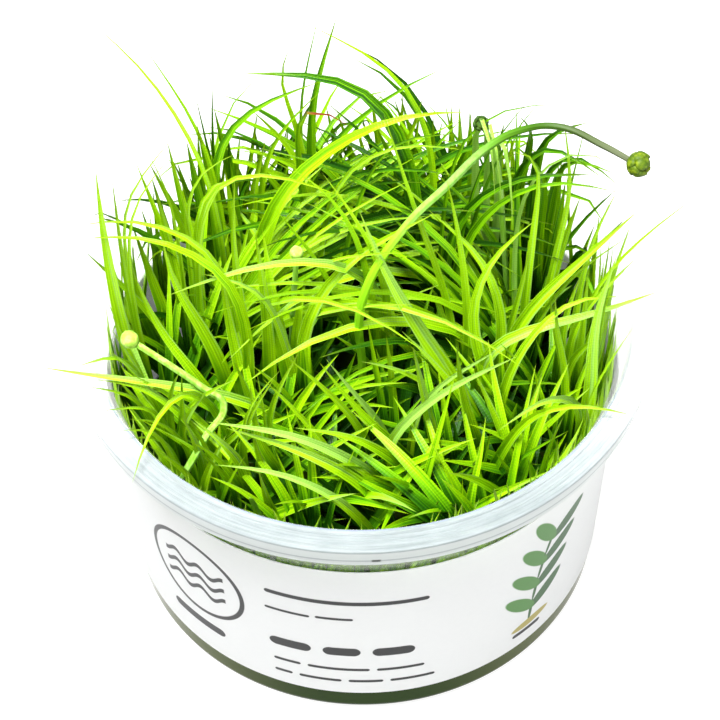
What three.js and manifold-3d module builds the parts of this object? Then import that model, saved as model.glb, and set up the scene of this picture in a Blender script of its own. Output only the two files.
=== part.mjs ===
// A cup of tissue-cultured pipewort (Eriocaulon cinereum): a low clear cup with a label
// round its wall, nutrient gel in its bottom, and a thicket of grassy plantlets with a few
// flower heads on stalks. Millimetres, +Z up, origin at the centre of the cup's base.
// -Y is the label's front, and +X is to the right of it.
import * as THREE from 'three';
import { mergeVertices } from 'three/addons/utils/BufferGeometryUtils.js';
import Module from 'manifold-3d';

const wasm = await Module();
wasm.setup();

// The moulded cup
const CUP_HEIGHT = 58;
const RIM_RADIUS = 48.8; // outer edge of the rim's flat top
const MOUTH_RADIUS = 45; // inner edge of the rim's flat top
const WALL = 0.8;
const NECK_RADIUS = 43.6; // outside of the wall, under the rim
const FOOT_RADIUS = 42.3; // outside of the wall, above the heel
const HEEL = 2.4; // radius of the rounded heel
const SKIRT_DEPTH = 4.4; // the rim's outer edge, turned down
const SKIRT_DRAFT = 0.5;
const SEAT_STEP = 1.1; // how far the mouth steps out above the wall, for a lid
const ROUND = 0.6; // small rounding of the rim's edges
const CUP_SIDES = 48;

// The paper label
const LABEL_BOTTOM = 6.4;
const LABEL_TOP = 45;
const LABEL_THICKNESS = 0.2;
const LABEL_GAP = 0.05;
const WINDOW_HALF_ANGLE = THREE.MathUtils.degToRad(30); // bare wall at the back

// The gel and what grows from it
const GAP = 0.3;
const GEL_TOP = 18;
const CROWN_RADIUS = 2.2;
const CROWN_HEIGHT = 7;
const CROWN_SIDES = 6;
const LEAF_START = 2.4; // height of a leaf's base in its crown
const LEAF_OFFSET = 1.5; // its distance from the crown's axis
const LEAF_THICKNESS = 0.5;
const TRIES = 60;
const WIDEST_NUDGE = 5;
const LEAST_LEAVES = 4; // a plantlet with fewer listed leaves is filled up to these
const DRAWS = 16; // how many leaves are drawn for that at most
const GOLDEN_ANGLE = THREE.MathUtils.degToRad(137.5); // from each leaf to the next
const SPREAD_RADIUS = 52; // how far from the axis a leaf reaches above the rim
const FRONT_RADIUS = 40; // and how far at the front, where leaves stay in the cup

// The direction that most blades turn their upper face to
const FACE = new THREE.Vector3(0, -0.6, 0.8);

// Middle of each plantlet's crown, [x, y]
const CROWNS = [
  [-22, 21], [12, 18], [-5, 30], [-9, 14], [-35, 1], [-29, 11], [-19, -1],
  [-8, -2], [5, 5], [19, 2], [28, 10], [35, -1], [34, -12], [25, -8],
  [16, -17], [6, -13], [7, -26], [-6, -17], [-18, -14], [-31, -10], [-27, -23],
  [-8, -31], [22, -28], [9, 33], [22, 25], [30, 20], [-18, 32], [29, -20],
];

// Leaves that can be told apart: width, then where the leaf starts, [x, y] on the gel,
// and the points [x, y, z] that it passes on the way to its tip
const LEAVES = [
  // back left, thin tips above the rim
  [1.0, [-21, 13], [-26, 22, 70], [-35, 30, 84], [-43, 34, 91]],
  [1.0, [-20, 19], [-26, 27, 70], [-35, 32, 88]],
  [0.9, [-22, 24], [-25, 28, 60], [-27, 29, 80]],
  [0.9, [-20, 22], [-25, 30, 62], [-24, 30, 82]],
  [2.2, [-23, 26], [-27, 27, 50], [-27, 27, 73]],
  [1.1, [-23, 25], [-25, 27, 64], [-19, 28, 76], [-6, 29, 82]],
  [1.3, [-28, 12], [-25, 14, 72], [-15, 11, 79], [-2, 7, 77]],
  [1.0, [-30, 12], [-27, 15, 74], [-19, 16, 79]],
  // back, tall arching leaves
  [2.2, [9, 20], [7, 25, 74], [-2, 26, 85], [-19, 28, 85]],
  [1.2, [-5, 30], [-8, 33, 70], [-3, 34, 92]],
  [0.8, [-7, 31], [-10, 35, 68], [-6, 37, 90]],
  [0.9, [13, 20], [12, 27, 72], [5, 29, 85], [-8, 33, 91]],
  [1.0, [-4, 28], [-10, 31, 68], [-13, 32, 80], [-11, 32, 87]],
  [2.6, [-18, 13], [-15, 20, 62], [-3, 21, 76], [9, 21, 82], [18, 22, 81]],
  [1.1, [-9, 15], [-4, 21, 66], [7, 20, 76], [19, 19, 75]],
  [0.8, [10, 16], [17, 19, 78], [25, 19, 85], [33, 18, 86]],
  [0.8, [14, 15], [21, 17, 76], [28, 19, 87]],
  // left, against the wall and over the rim
  [2.4, [-37, -1], [-40, 0, 54], [-41, 2, 78], [-41, 4, 88]],
  [1.2, [-35, 1], [-39, 5, 60], [-39, 6, 84]],
  [0.8, [-36, 2], [-39, 8, 66], [-37, 9, 77], [-29, 13, 86]],
  [0.8, [-27, 10], [-31, 11, 74], [-34, 12, 84]],
  [1.9, [-15, -3], [-21, -2, 68], [-33, 0, 76], [-44, 2, 74]],
  [1.6, [-17, 0], [-24, 3, 69], [-36, 4, 76], [-45, 4, 75]],
  [1.3, [-29, 5], [-26, 8, 70], [-21, 9, 81]],
  [1.6, [-18, 4], [-20, 6, 48], [-21, 8, 64], [-20, 10, 79]],
  [2.6, [-17, -2], [-25, 0, 48], [-31, 2, 64], [-32, 4, 72]],
  [1.9, [-19, -3], [-27, -3, 42], [-34, 0, 54], [-37, 1, 67]],
  [1.9, [8, 8], [3, 7, 56], [-8, 2, 68], [-20, -1, 69], [-32, -2, 64]],
  [1.7, [-9, -1], [-13, 1, 48], [-17, 1, 62], [-26, 2, 65]],
  [1.9, [-7, -5], [-17, -10, 45], [-31, -14, 56], [-43, -15, 60], [-52, -13, 60]],
  [1.5, [-16, -8], [-25, -14, 52], [-30, -21, 62], [-34, -30, 62], [-36, -35, 58]],
  [1.4, [-34, -8], [-39, -8, 56], [-46, -14, 61]],
  [1.2, [-33, -14], [-37, -15, 54], [-44, -18, 61]],
  [1.2, [-30, -20], [-33, -23, 55], [-38, -27, 61]],
  [1.3, [-30, -12], [-34, -18, 55], [-41, -23, 61]],
  // middle
  [2.2, [-13, 0], [-10, 2, 50], [-2, 5, 64], [12, 5, 75]],
  [2.4, [-15, -1], [-16, 1, 38], [-16, 3, 56], [-17, 5, 72]],
  [2.3, [-18, -4], [-20, -3, 38], [-22, 0, 54], [-23, 2, 68]],
  [1.5, [9, 1], [4, 4, 60], [-1, 6, 74], [-6, 10, 80]],
  [1.5, [7, 3], [0, 5, 68], [-5, 9, 76], [-11, 12, 79]],
  [1.3, [19, 5], [15, 7, 50], [9, 8, 73], [4, 12, 91]],
  [2.8, [21, -4], [16, -2, 40], [8, 0, 56], [3, 2, 68], [0, 5, 76]],
  [1.3, [1, 5], [-6, 8, 58], [-14, 10, 72]],
  [1.7, [7, -8], [5, -5, 44], [4, -4, 56]],
  [1.7, [19, 1], [18, 3, 52], [16, 6, 70], [14, 8, 80]],
  [2.0, [25, 0], [24, 2, 50], [20, 5, 64], [11, 7, 74]],
  // right
  [2.0, [12, 15], [17, 17, 62], [27, 14, 74], [39, 12, 76]],
  [1.6, [14, 14], [20, 14, 64], [31, 11, 76], [42, 9, 75]],
  [1.6, [27, 5], [28, 7, 54], [29, 10, 70], [29, 12, 81], [24, 11, 83]],
  [1.3, [28, 7], [33, 11, 58], [35, 14, 71], [33, 17, 85]],
  [1.4, [34, 3], [37, 6, 56], [39, 7, 69], [42, 9, 76]],
  [2.3, [19, -1], [27, 2, 52], [36, 3, 65], [45, 5, 75]],
  [0.8, [32, 0], [38, 2, 57], [46, 3, 71], [54, 5, 78]],
  [1.6, [31, -2], [36, 0, 53], [45, 2, 67]],
  [2.2, [13, -4], [22, -4, 53], [38, -4, 60], [49, -1, 62]],
  [1.7, [24, -8], [23, -8, 42], [27, -7, 57], [34, -5, 65], [43, -3, 63]],
  [2.2, [25, -5], [22, -4, 40], [18, -1, 57], [22, 1, 70], [28, 3, 75]],
  [1.5, [23, 3], [26, 4, 52], [28, 5, 67]],
  [1.6, [34, -9], [38, -8, 46], [39, -6, 58], [40, -3, 68]],
  [0.7, [35, -13], [38, -13, 52], [44, -9, 63]],
  [1.5, [35, -7], [34, -7, 48], [32, -6, 58], [31, -6, 68]],
  [1.7, [19, -14], [27, -20, 54], [35, -23, 60], [42, -25, 60]],
  [1.8, [35, -10], [36, -14, 48], [29, -20, 58], [21, -27, 59]],
  // front
  [2.0, [16, -16], [12, -15, 40], [8, -15, 66]],
  [1.9, [15, -17], [9, -18, 34], [-1, -21, 50], [-11, -24, 57]],
  [2.2, [8, -24], [2, -24, 38], [-10, -25, 52], [-22, -23, 56]],
  [2.4, [17, -18], [8, -21, 32], [-4, -23, 45], [-12, -22, 52]],
  [1.7, [16, -15], [10, -15, 32], [-1, -15, 50], [-7, -13, 60]],
  [1.9, [23, -14], [19, -14, 40], [16, -13, 54], [15, -14, 65]],
  [1.6, [17, -17], [19, -18, 32], [21, -17, 46]],
  [1.7, [5, -14], [4, -16, 42], [13, -15, 54], [25, -15, 63]],
  [2.0, [7, -16], [1, -22, 42], [-11, -24, 55], [-25, -24, 59]],
  [1.6, [4, -28], [-4, -29, 44], [-14, -29, 52], [-24, -28, 53]],
  [1.6, [2, -20], [-5, -19, 42], [-10, -18, 52], [-16, -17, 61]],
  [1.5, [8, -14], [-1, -15, 46], [-7, -16, 58], [-12, -16, 65]],
  [1.5, [-17, -14], [-15, -16, 52], [-10, -15, 65]],
];

// Flower stalks: the points [x, y, z] of the stalk, and the head's radii across and along
const FLOWERS = [
  {
    name: 'long',
    path: [[1, 3, 18.4], [0, 2, 40], [1, 1, 62], [8, 6, 72], [14, 9, 77], [21, 12.5, 82.5],
      [26, 13, 85.5], [32, 11.5, 87.5], [38, 8, 86.5], [41.5, 6.5, 85]],
    stalk: 0.65,
    head: [2, 1.8],
    color: 0x5a5436,
  },
  {
    name: 'left',
    path: [[-33, -15, 18.4], [-30, -15, 34], [-27, -14, 43], [-23.5, -13.5, 50],
      [-26, -13, 53.5], [-31, -11.5, 58], [-35.5, -10, 61]],
    stalk: 0.6,
    head: [1.6, 1.7],
    color: 0xe4f07a,
  },
  {
    name: 'middle',
    path: [[-13, 7, 18.4], [-12, 7, 44], [-10.5, 5, 65.5]],
    stalk: 0.5,
    head: [1.3, 1.2],
    color: 0xd5ea86,
  },
  {
    name: 'back',
    path: [[27, 17, 18.4], [25, 20, 52], [22, 20, 76], [20.3, 19.3, 80.5]],
    stalk: 0.45,
    head: [1.5, 1.3],
    color: 0x3c4a1c,
  },
];

const clearPlastic = new THREE.MeshStandardMaterial({
  color: 0xeef4fb, roughness: 0.12, metalness: 0, transparent: true, opacity: 0.35,
});
const whitePaper = new THREE.MeshStandardMaterial({ color: 0xf5f5f6, roughness: 0.45, metalness: 0 });
const paleGel = new THREE.MeshStandardMaterial({
  color: 0xc9cf9a, roughness: 0.2, metalness: 0, transparent: true, opacity: 0.8,
});
const stalkGreen = new THREE.MeshStandardMaterial({ color: 0xb9e36b, roughness: 0.4, metalness: 0 });
const leafGreens = [0x8fdc00, 0x7ccc04, 0xa6e800, 0x62b500].map(
  (color) => new THREE.MeshStandardMaterial({ color, roughness: 0.38, metalness: 0, flatShading: true }),
);

// The same draws in the same order each time
let seed = 7;
function between(low, high) {
  seed = (seed * 1664525 + 1013904223) % 4294967296;
  return low + ((high - low) * seed) / 4294967296;
}

// A closed three.js geometry as a solid that can be joined and cut
function solidOf(geometry) {
  const bare = geometry.clone();
  bare.deleteAttribute('normal');
  bare.deleteAttribute('uv');
  const merged = mergeVertices(bare, 1e-3);
  return new wasm.Manifold(new wasm.Mesh({
    numProp: 3,
    vertProperties: merged.attributes.position.array,
    triVerts: new Uint32Array(merged.index.array),
  }));
}

function geometryOf(solid) {
  const { vertProperties, triVerts } = solid.getMesh();
  const geometry = new THREE.BufferGeometry();
  geometry.setAttribute('position', new THREE.BufferAttribute(vertProperties, 3));
  geometry.setIndex(new THREE.BufferAttribute(triVerts, 1));
  geometry.computeVertexNormals();
  return geometry;
}

// A shape turned round the cup's axis, from its [radius, height] outline
function turned(outline, sides) {
  const points = outline.map(([radius, height]) => new THREE.Vector2(radius, height));
  return new THREE.LatheGeometry(points, sides).rotateX(Math.PI / 2);
}

// Outside radius of the cup's tapered wall
const NECK_HEIGHT = CUP_HEIGHT - SKIRT_DEPTH - ROUND;
function wallRadius(z) {
  return FOOT_RADIUS + ((NECK_RADIUS - FOOT_RADIUS) * (z - HEEL)) / (NECK_HEIGHT - HEEL);
}

function cupGeometry() {
  const heelIn = HEEL * (1 - Math.SQRT1_2);
  const skirtFoot = CUP_HEIGHT - SKIRT_DEPTH;
  return turned([
    [0, 0],
    [FOOT_RADIUS - HEEL, 0],
    [FOOT_RADIUS - heelIn, heelIn],
    [FOOT_RADIUS, HEEL],
    [NECK_RADIUS, NECK_HEIGHT],
    [NECK_RADIUS + SEAT_STEP, skirtFoot + ROUND],
    [MOUTH_RADIUS, CUP_HEIGHT - WALL],
    [RIM_RADIUS - WALL, CUP_HEIGHT - WALL],
    [RIM_RADIUS - SKIRT_DRAFT - WALL, skirtFoot],
    [RIM_RADIUS - SKIRT_DRAFT, skirtFoot],
    [RIM_RADIUS, CUP_HEIGHT - ROUND],
    [RIM_RADIUS - ROUND, CUP_HEIGHT],
    [MOUTH_RADIUS, CUP_HEIGHT],
    [MOUTH_RADIUS - WALL, CUP_HEIGHT - WALL],
    [NECK_RADIUS + SEAT_STEP - WALL, skirtFoot + ROUND],
    [NECK_RADIUS - WALL, NECK_HEIGHT],
    [FOOT_RADIUS - WALL, HEEL],
    [FOOT_RADIUS - WALL - heelIn, WALL + heelIn],
    [FOOT_RADIUS - HEEL, WALL],
    [0, WALL],
  ], CUP_SIDES);
}

// A band that follows the wall, with a gap at the back cut by a wedge
function labelGeometry() {
  const inner = (z) => wallRadius(z) + LABEL_GAP;
  const band = turned([
    [inner(LABEL_BOTTOM), LABEL_BOTTOM],
    [inner(LABEL_BOTTOM) + LABEL_THICKNESS, LABEL_BOTTOM],
    [inner(LABEL_TOP) + LABEL_THICKNESS, LABEL_TOP],
    [inner(LABEL_TOP), LABEL_TOP],
    [inner(LABEL_BOTTOM), LABEL_BOTTOM],
  ], CUP_SIDES);
  const far = 2 * RIM_RADIUS;
  const wedge = new THREE.Shape([
    new THREE.Vector2(0, 0),
    new THREE.Vector2(far * Math.sin(WINDOW_HALF_ANGLE), far * Math.cos(WINDOW_HALF_ANGLE)),
    new THREE.Vector2(-far * Math.sin(WINDOW_HALF_ANGLE), far * Math.cos(WINDOW_HALF_ANGLE)),
  ]);
  const window = new THREE.ExtrudeGeometry(wedge, { depth: CUP_HEIGHT, bevelEnabled: false });
  return geometryOf(solidOf(band).subtract(solidOf(window)));
}

function gelGeometry() {
  const inside = (z) => wallRadius(z) - WALL - GAP;
  return turned([
    [0, WALL + GAP],
    [FOOT_RADIUS - HEEL - GAP, WALL + GAP],
    [inside(HEEL) - GAP, HEEL + GAP],
    [inside(GEL_TOP), GEL_TOP],
    [0, GEL_TOP],
  ], CUP_SIDES);
}

// A plantlet's crown: the overlapping leaf bases, a stout bud on the gel
function crownGeometry([x, y]) {
  const base = GEL_TOP + GAP;
  return turned([
    [0, base],
    [CROWN_RADIUS, base],
    [CROWN_RADIUS, base + 0.4 * CROWN_HEIGHT],
    [0.4 * CROWN_RADIUS, base + CROWN_HEIGHT],
    [0, base + CROWN_HEIGHT],
  ], CROWN_SIDES).translate(x, y, 0);
}

// A blade along a curve: section(width) gives its corners, across the blade and behind it,
// counted against the clock as seen from the tip
function bladeGeometry(path, width, section) {
  const curve = new THREE.CatmullRomCurve3(path, false, 'centripetal');
  const positions = [];
  const faces = [];
  const steps = path.length;
  let corners = 0;
  for (let step = 0; step < steps; step += 1) {
    const share = step / steps;
    const at = curve.getPointAt(share);
    const along = curve.getTangentAt(share);
    const across = new THREE.Vector3().crossVectors(along, FACE).normalize();
    const behind = new THREE.Vector3().crossVectors(along, across);
    const ring = section(width * (1 - share ** 2.2));
    corners = ring.length;
    for (const [side, back] of ring) {
      const corner = at.clone().addScaledVector(across, side).addScaledVector(behind, back);
      positions.push(corner.x, corner.y, corner.z);
    }
  }
  const tip = curve.getPointAt(1);
  positions.push(tip.x, tip.y, tip.z);
  for (let corner = 0; corner < corners; corner += 1) {
    const next = (corner + 1) % corners;
    for (let step = 0; step < steps - 1; step += 1) {
      const low = step * corners;
      const high = low + corners;
      faces.push(low + corner, low + next, high + next);
      faces.push(low + corner, high + next, high + corner);
    }
    const last = (steps - 1) * corners;
    faces.push(last + corner, last + next, steps * corners);
  }
  for (let corner = 1; corner < corners - 1; corner += 1) faces.push(0, corner + 1, corner);
  const geometry = new THREE.BufferGeometry();
  geometry.setAttribute('position', new THREE.Float32BufferAttribute(positions, 3));
  geometry.setIndex(faces);
  return geometry;
}

// The leaf itself: flat above, with a low keel below
const leafSection = (width) => [[width / 2, 0], [0, LEAF_THICKNESS], [-width / 2, 0]];

// The room that the leaf needs, with the gap all round it
const roomSection = (width) => {
  const side = width / 2 + GAP;
  return [
    [side, -GAP], [side, LEAF_THICKNESS + GAP], [-side, LEAF_THICKNESS + GAP], [-side, -GAP],
  ];
};

// Solids that are already placed, each with its box and the plantlet that it belongs to
const placed = [];
function place(solid, owner) {
  placed.push({ solid, owner, box: solid.boundingBox() });
}

function boxesMeet(a, b) {
  return [0, 1, 2].every((axis) => a.min[axis] < b.max[axis] && b.min[axis] < a.max[axis]);
}

function isClear(room, owner) {
  const box = room.boundingBox();
  return placed.every((other) => other.owner === owner
    || !boxesMeet(box, other.box)
    || other.solid.intersect(room).isEmpty());
}

function nearestCrown([x, y]) {
  const distances = CROWNS.map((crown) => Math.hypot(crown[0] - x, crown[1] - y));
  return distances.indexOf(Math.min(...distances));
}

// A leaf's points, from inside its crown towards the first point that it passes
function leafPath(owner, points) {
  const [x, y] = CROWNS[owner];
  const heading = Math.atan2(points[0][1] - y, points[0][0] - x);
  const start = new THREE.Vector3(
    x + LEAF_OFFSET * Math.cos(heading),
    y + LEAF_OFFSET * Math.sin(heading),
    GEL_TOP + GAP + LEAF_START,
  );
  return [start, ...points.map((point) => new THREE.Vector3(...point))];
}

// Adds the leaf where it is clear of its neighbours, moved a little at a time if it isn't
function addLeaf(plantlets, owner, width, points) {
  const path = leafPath(owner, points);
  for (let attempt = 0; attempt < TRIES; attempt += 1) {
    const nudge = (WIDEST_NUDGE * attempt) / TRIES;
    const shift = new THREE.Vector3(between(-1, 1), between(-1, 1), between(-0.5, 1));
    const moved = path.map((point, index) => (
      point.clone().addScaledVector(shift, (nudge * index) / (path.length - 1))
    ));
    const room = solidOf(bladeGeometry(moved, width, roomSection));
    if (isClear(room, owner)) {
      const leaf = solidOf(bladeGeometry(moved, width, leafSection));
      place(leaf, owner);
      plantlets[owner].push(leaf);
      return true;
    }
  }
  return false;
}

// How far from the axis a leaf may reach at a point: inside the wall, and above the rim
// out to its sides and back
function reachLimit(x, y, z) {
  if (z < CUP_HEIGHT + 2) return wallRadius(z) - WALL - 1.5;
  const frontness = THREE.MathUtils.smoothstep(-y / Math.hypot(x, y), 0.15, 0.55);
  return THREE.MathUtils.lerp(SPREAD_RADIUS, FRONT_RADIUS, frontness);
}

function keptIn([x, y, z]) {
  const radius = Math.hypot(x, y);
  const scale = Math.min(1, reachLimit(x, y, z) / radius);
  return [x * scale, y * scale, z];
}

// The points of a leaf that leans out of its crown and arches over
function leaningLeaf([x, y], heading) {
  const length = between(44, 70);
  const reach = length * between(0.12, 0.75);
  const rise = 0.95 * Math.sqrt(length ** 2 - reach ** 2);
  const point = (out, up) => keptIn([
    x + out * reach * Math.cos(heading),
    y + out * reach * Math.sin(heading),
    GEL_TOP + up * rise,
  ]);
  return [point(0.38, 0.6), point(1, 1)];
}

const tub = new THREE.Group();
function addMesh(name, geometry, material) {
  const mesh = new THREE.Mesh(geometry, material);
  mesh.name = name;
  tub.add(mesh);
  return mesh;
}

function buildVessel() {
  const vessel = {
    cup: [cupGeometry(), clearPlastic],
    label: [labelGeometry(), whitePaper],
    nutrient_gel: [gelGeometry(), paleGel],
  };
  for (const [name, [geometry, material]] of Object.entries(vessel)) {
    addMesh(name, geometry, material);
    place(solidOf(geometry), name);
  }
}

function buildFlower({ name, path, stalk, head, color }) {
  const curve = new THREE.CatmullRomCurve3(path.map((point) => new THREE.Vector3(...point)));
  const round = new THREE.Shape().absarc(0, 0, stalk, 0, 2 * Math.PI);
  const stalkGeometry = new THREE.ExtrudeGeometry(round, {
    steps: 2 * path.length, curveSegments: 4, bevelEnabled: false, extrudePath: curve,
  });
  addMesh(`flower_stalk_${name}`, stalkGeometry, stalkGreen);
  place(solidOf(stalkGeometry), name);

  const [across, along] = head;
  const headGeometry = new THREE.SphereGeometry(1, 8, 6).scale(across, along, across);
  const direction = curve.getTangentAt(1);
  const material = new THREE.MeshStandardMaterial({ color, roughness: 0.8, metalness: 0 });
  const mesh = addMesh(`flower_head_${name}`, headGeometry, material);
  mesh.quaternion.setFromUnitVectors(new THREE.Vector3(0, 1, 0), direction);
  mesh.position.copy(curve.getPointAt(1)).addScaledVector(direction, along + GAP);
  mesh.updateMatrixWorld();
  place(solidOf(headGeometry.clone().applyMatrix4(mesh.matrixWorld)), name);
}

function buildPlantlets() {
  const plantlets = CROWNS.map((crown) => [solidOf(crownGeometry(crown))]);
  plantlets.forEach(([crown], owner) => place(crown, owner));
  for (const [width, root, ...points] of LEAVES) {
    addLeaf(plantlets, nearestCrown(root), width, points);
  }
  CROWNS.forEach((crown, owner) => {
    const turn = between(0, 2 * Math.PI);
    for (let draw = 0; draw < DRAWS && plantlets[owner].length <= LEAST_LEAVES; draw += 1) {
      addLeaf(plantlets, owner, between(1.2, 2.2), leaningLeaf(crown, turn + GOLDEN_ANGLE * draw));
    }
  });
  plantlets.forEach((pieces, owner) => {
    const whole = pieces.reduce((sum, piece) => sum.add(piece));
    const name = `plantlet_${String(owner + 1).padStart(2, '0')}`;
    addMesh(name, geometryOf(whole), leafGreens[owner % leafGreens.length]);
  });
}

buildVessel();
FLOWERS.forEach(buildFlower);
buildPlantlets();

export default tub;
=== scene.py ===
# %% [markdown]
# # A cup of tissue-cultured pipewort
# The plant is grown in a clear, lidless cup with a white label round its wall. The packed
# model gives the cup, the label, the gel, 28 crowns of leaves and four flowers in plain
# solids. Here each of them gets its fine shape and its finish, in the same places.
# Sizes are written in millimetres and turned into Blender's metres by MM.

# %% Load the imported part
import math
import random

import bpy
import numpy as np
from mathutils import Matrix, Vector, noise


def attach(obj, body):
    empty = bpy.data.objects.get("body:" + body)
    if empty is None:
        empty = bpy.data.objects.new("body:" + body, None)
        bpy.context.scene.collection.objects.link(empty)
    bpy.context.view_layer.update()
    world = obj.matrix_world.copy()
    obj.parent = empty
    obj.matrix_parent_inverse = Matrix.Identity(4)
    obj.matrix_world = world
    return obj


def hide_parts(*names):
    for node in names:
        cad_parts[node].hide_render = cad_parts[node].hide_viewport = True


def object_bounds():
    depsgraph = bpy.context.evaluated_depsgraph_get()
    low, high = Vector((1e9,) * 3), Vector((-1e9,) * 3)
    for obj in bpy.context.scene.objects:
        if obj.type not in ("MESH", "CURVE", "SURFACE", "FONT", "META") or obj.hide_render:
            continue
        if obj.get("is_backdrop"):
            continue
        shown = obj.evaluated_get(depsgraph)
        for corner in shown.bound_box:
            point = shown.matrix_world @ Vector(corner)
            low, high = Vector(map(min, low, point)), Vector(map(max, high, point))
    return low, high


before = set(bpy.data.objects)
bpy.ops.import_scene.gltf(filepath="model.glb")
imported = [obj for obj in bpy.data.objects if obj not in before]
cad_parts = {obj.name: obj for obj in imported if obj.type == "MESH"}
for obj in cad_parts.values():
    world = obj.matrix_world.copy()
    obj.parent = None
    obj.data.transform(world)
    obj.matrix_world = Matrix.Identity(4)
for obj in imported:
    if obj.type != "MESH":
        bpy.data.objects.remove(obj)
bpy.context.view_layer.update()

MM = 0.001

# %% [markdown]
# ## Camera
# A long lens looks down into the cup from the front at about 50 degrees, so that the rim
# shows as an ellipse and the label's lower edge is still in view. The camera is turned a
# little about its own axis, as a hand-held one is. It comes first, because every piece is
# judged from it.

# %% Camera
LENS, SENSOR = 104.5, 36
ELEVATION = math.radians(50.49)
DISTANCE = 356.5 * MM
LOOKED_AT = Vector((-0.37, 0, 44.47)) * MM
ROLL = -0.019

ahead = Vector((0, math.cos(ELEVATION), -math.sin(ELEVATION)))
right = Vector((1, 0, 0))
up = right.cross(ahead)
camera = bpy.data.objects.new("camera", bpy.data.cameras.new("camera"))
camera.data.lens = LENS
camera.data.sensor_width = SENSOR
camera.data.clip_start = 10 * MM
camera.matrix_world = Matrix((
    right * math.cos(ROLL) + up * math.sin(ROLL),
    up * math.cos(ROLL) - right * math.sin(ROLL),
    -ahead,
)).transposed().to_4x4()
camera.location = LOOKED_AT - ahead * DISTANCE
bpy.context.collection.objects.link(camera)
bpy.context.scene.camera = camera
print("camera in mm", [round(v / MM, 1) for v in camera.location])

# %% [markdown]
# ## Light
# A white world lights the leaves from all round, as a light tent does. One large soft lamp
# hangs above the cup, a little to the left and the front. It gives the leaves their bright
# and dark sides and leaves the gaps between them dark. Two lamps low at the front fill the
# label: the right one clearly, the left one only just. The Standard view keeps the greens
# vivid.

# %% Light
WORLD_STRENGTH = 0.5
LAMPS = [
    # name, power in watts, width and place in metres
    ("top_lamp", 13.5, 0.3, Vector((-0.12, -0.08, 0.65))),
    ("fill_lamp", 0.1, 0.25, Vector((-0.4, -0.34, 0.16))),
    ("fill_lamp", 1.0, 0.25, Vector((0.4, -0.34, 0.16))),
]

world = bpy.data.worlds.new("light_tent")
world.use_nodes = True
world.node_tree.nodes["Background"].inputs["Color"].default_value = (1, 1, 1, 1)
world.node_tree.nodes["Background"].inputs["Strength"].default_value = WORLD_STRENGTH
bpy.context.scene.world = world
bpy.context.scene.view_settings.view_transform = "Standard"

for name, power, width, place in LAMPS:
    lamp = bpy.data.objects.new(name, bpy.data.lights.new(name, "AREA"))
    lamp.data.energy = power
    lamp.data.size = width
    lamp.location = place
    lamp.rotation_euler = (LOOKED_AT - place).to_track_quat("-Z", "Y").to_euler()
    bpy.context.collection.objects.link(lamp)
print("world", WORLD_STRENGTH, "lamps", len(LAMPS))

# %% [markdown]
# ## Floor
# The cup stands on a light table: a pale sheet that glows from below, so that the cup's
# shadow all but goes and clear parts look clear. It lies a hair under the foot, so that the
# two never share a face.

# %% Floor
FLOOR_SIZE = 6  # metres
FLOOR_DEPTH = 0.05 * MM
FLOOR_GREY = (0.3, 0.3, 0.3, 1)
FLOOR_GLOW = 0.88
FLOOR_ROUGHNESS = 0.9

bpy.ops.object.select_all(action="DESELECT")
bpy.ops.mesh.primitive_plane_add(size=FLOOR_SIZE, location=(0, 0, -FLOOR_DEPTH))
floor = bpy.context.active_object
floor.name = "floor"
floor.data.materials.append(bpy.data.materials.new("pale_floor"))
floor.active_material.use_nodes = True
floor_shader = floor.active_material.node_tree.nodes["Principled BSDF"]
floor_shader.inputs["Base Color"].default_value = FLOOR_GREY
floor_shader.inputs["Emission Color"].default_value = (1, 1, 1, 1)
floor_shader.inputs["Emission Strength"].default_value = FLOOR_GLOW
floor_shader.inputs["Roughness"].default_value = FLOOR_ROUGHNESS
floor_shader.inputs["Specular IOR Level"].default_value = 0
floor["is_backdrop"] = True
print("floor", FLOOR_SIZE, "m wide, glow", FLOOR_GLOW)

# %% [markdown]
# ## Helpers for any piece
# Blender's operators act on what is selected, and most of them on the active piece. So a
# piece is chosen alone before an operator runs on it.

# %% Choose, smooth, modify and measure a piece
def deselect():
    bpy.ops.object.select_all(action="DESELECT")


def choose(piece):
    deselect()
    piece.select_set(True)
    bpy.context.view_layer.objects.active = piece


def smooth_by_angle(piece, degrees):
    choose(piece)
    bpy.ops.object.shade_smooth_by_angle(angle=math.radians(degrees))


def apply_modifier(piece, kind, **settings):
    choose(piece)
    modifier = piece.modifiers.new(kind.lower(), kind)
    for name, value in settings.items():
        setattr(modifier, name, value)
    bpy.ops.object.modifier_apply(modifier=modifier.name)


def say(piece):
    corners = np.array([v.co for v in piece.data.vertices]) / MM
    low, high = corners.min(0).round(1).tolist(), corners.max(0).round(1).tolist()
    print(piece.name, len(piece.data.polygons), "faces, in mm from", low, "to", high)


say(floor)

# %% [markdown]
# ## Helpers for turned shapes
# The cup, the label and the gel are round, so each grows from one circle. It is extruded
# again and again, and after each step scaled to the next radius, until the outline is done.
# This keeps the rings of corners in order and leaves no seam.

# %% Arc and turned shape
def arc(centre, radius, first, last, steps):
    """Points of a round corner, with angles in degrees from the outward direction."""
    angles = [math.radians(first + (last - first) * step / steps) for step in range(steps + 1)]
    return [(centre[0] + radius * math.cos(a), centre[1] + radius * math.sin(a)) for a in angles]


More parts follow.
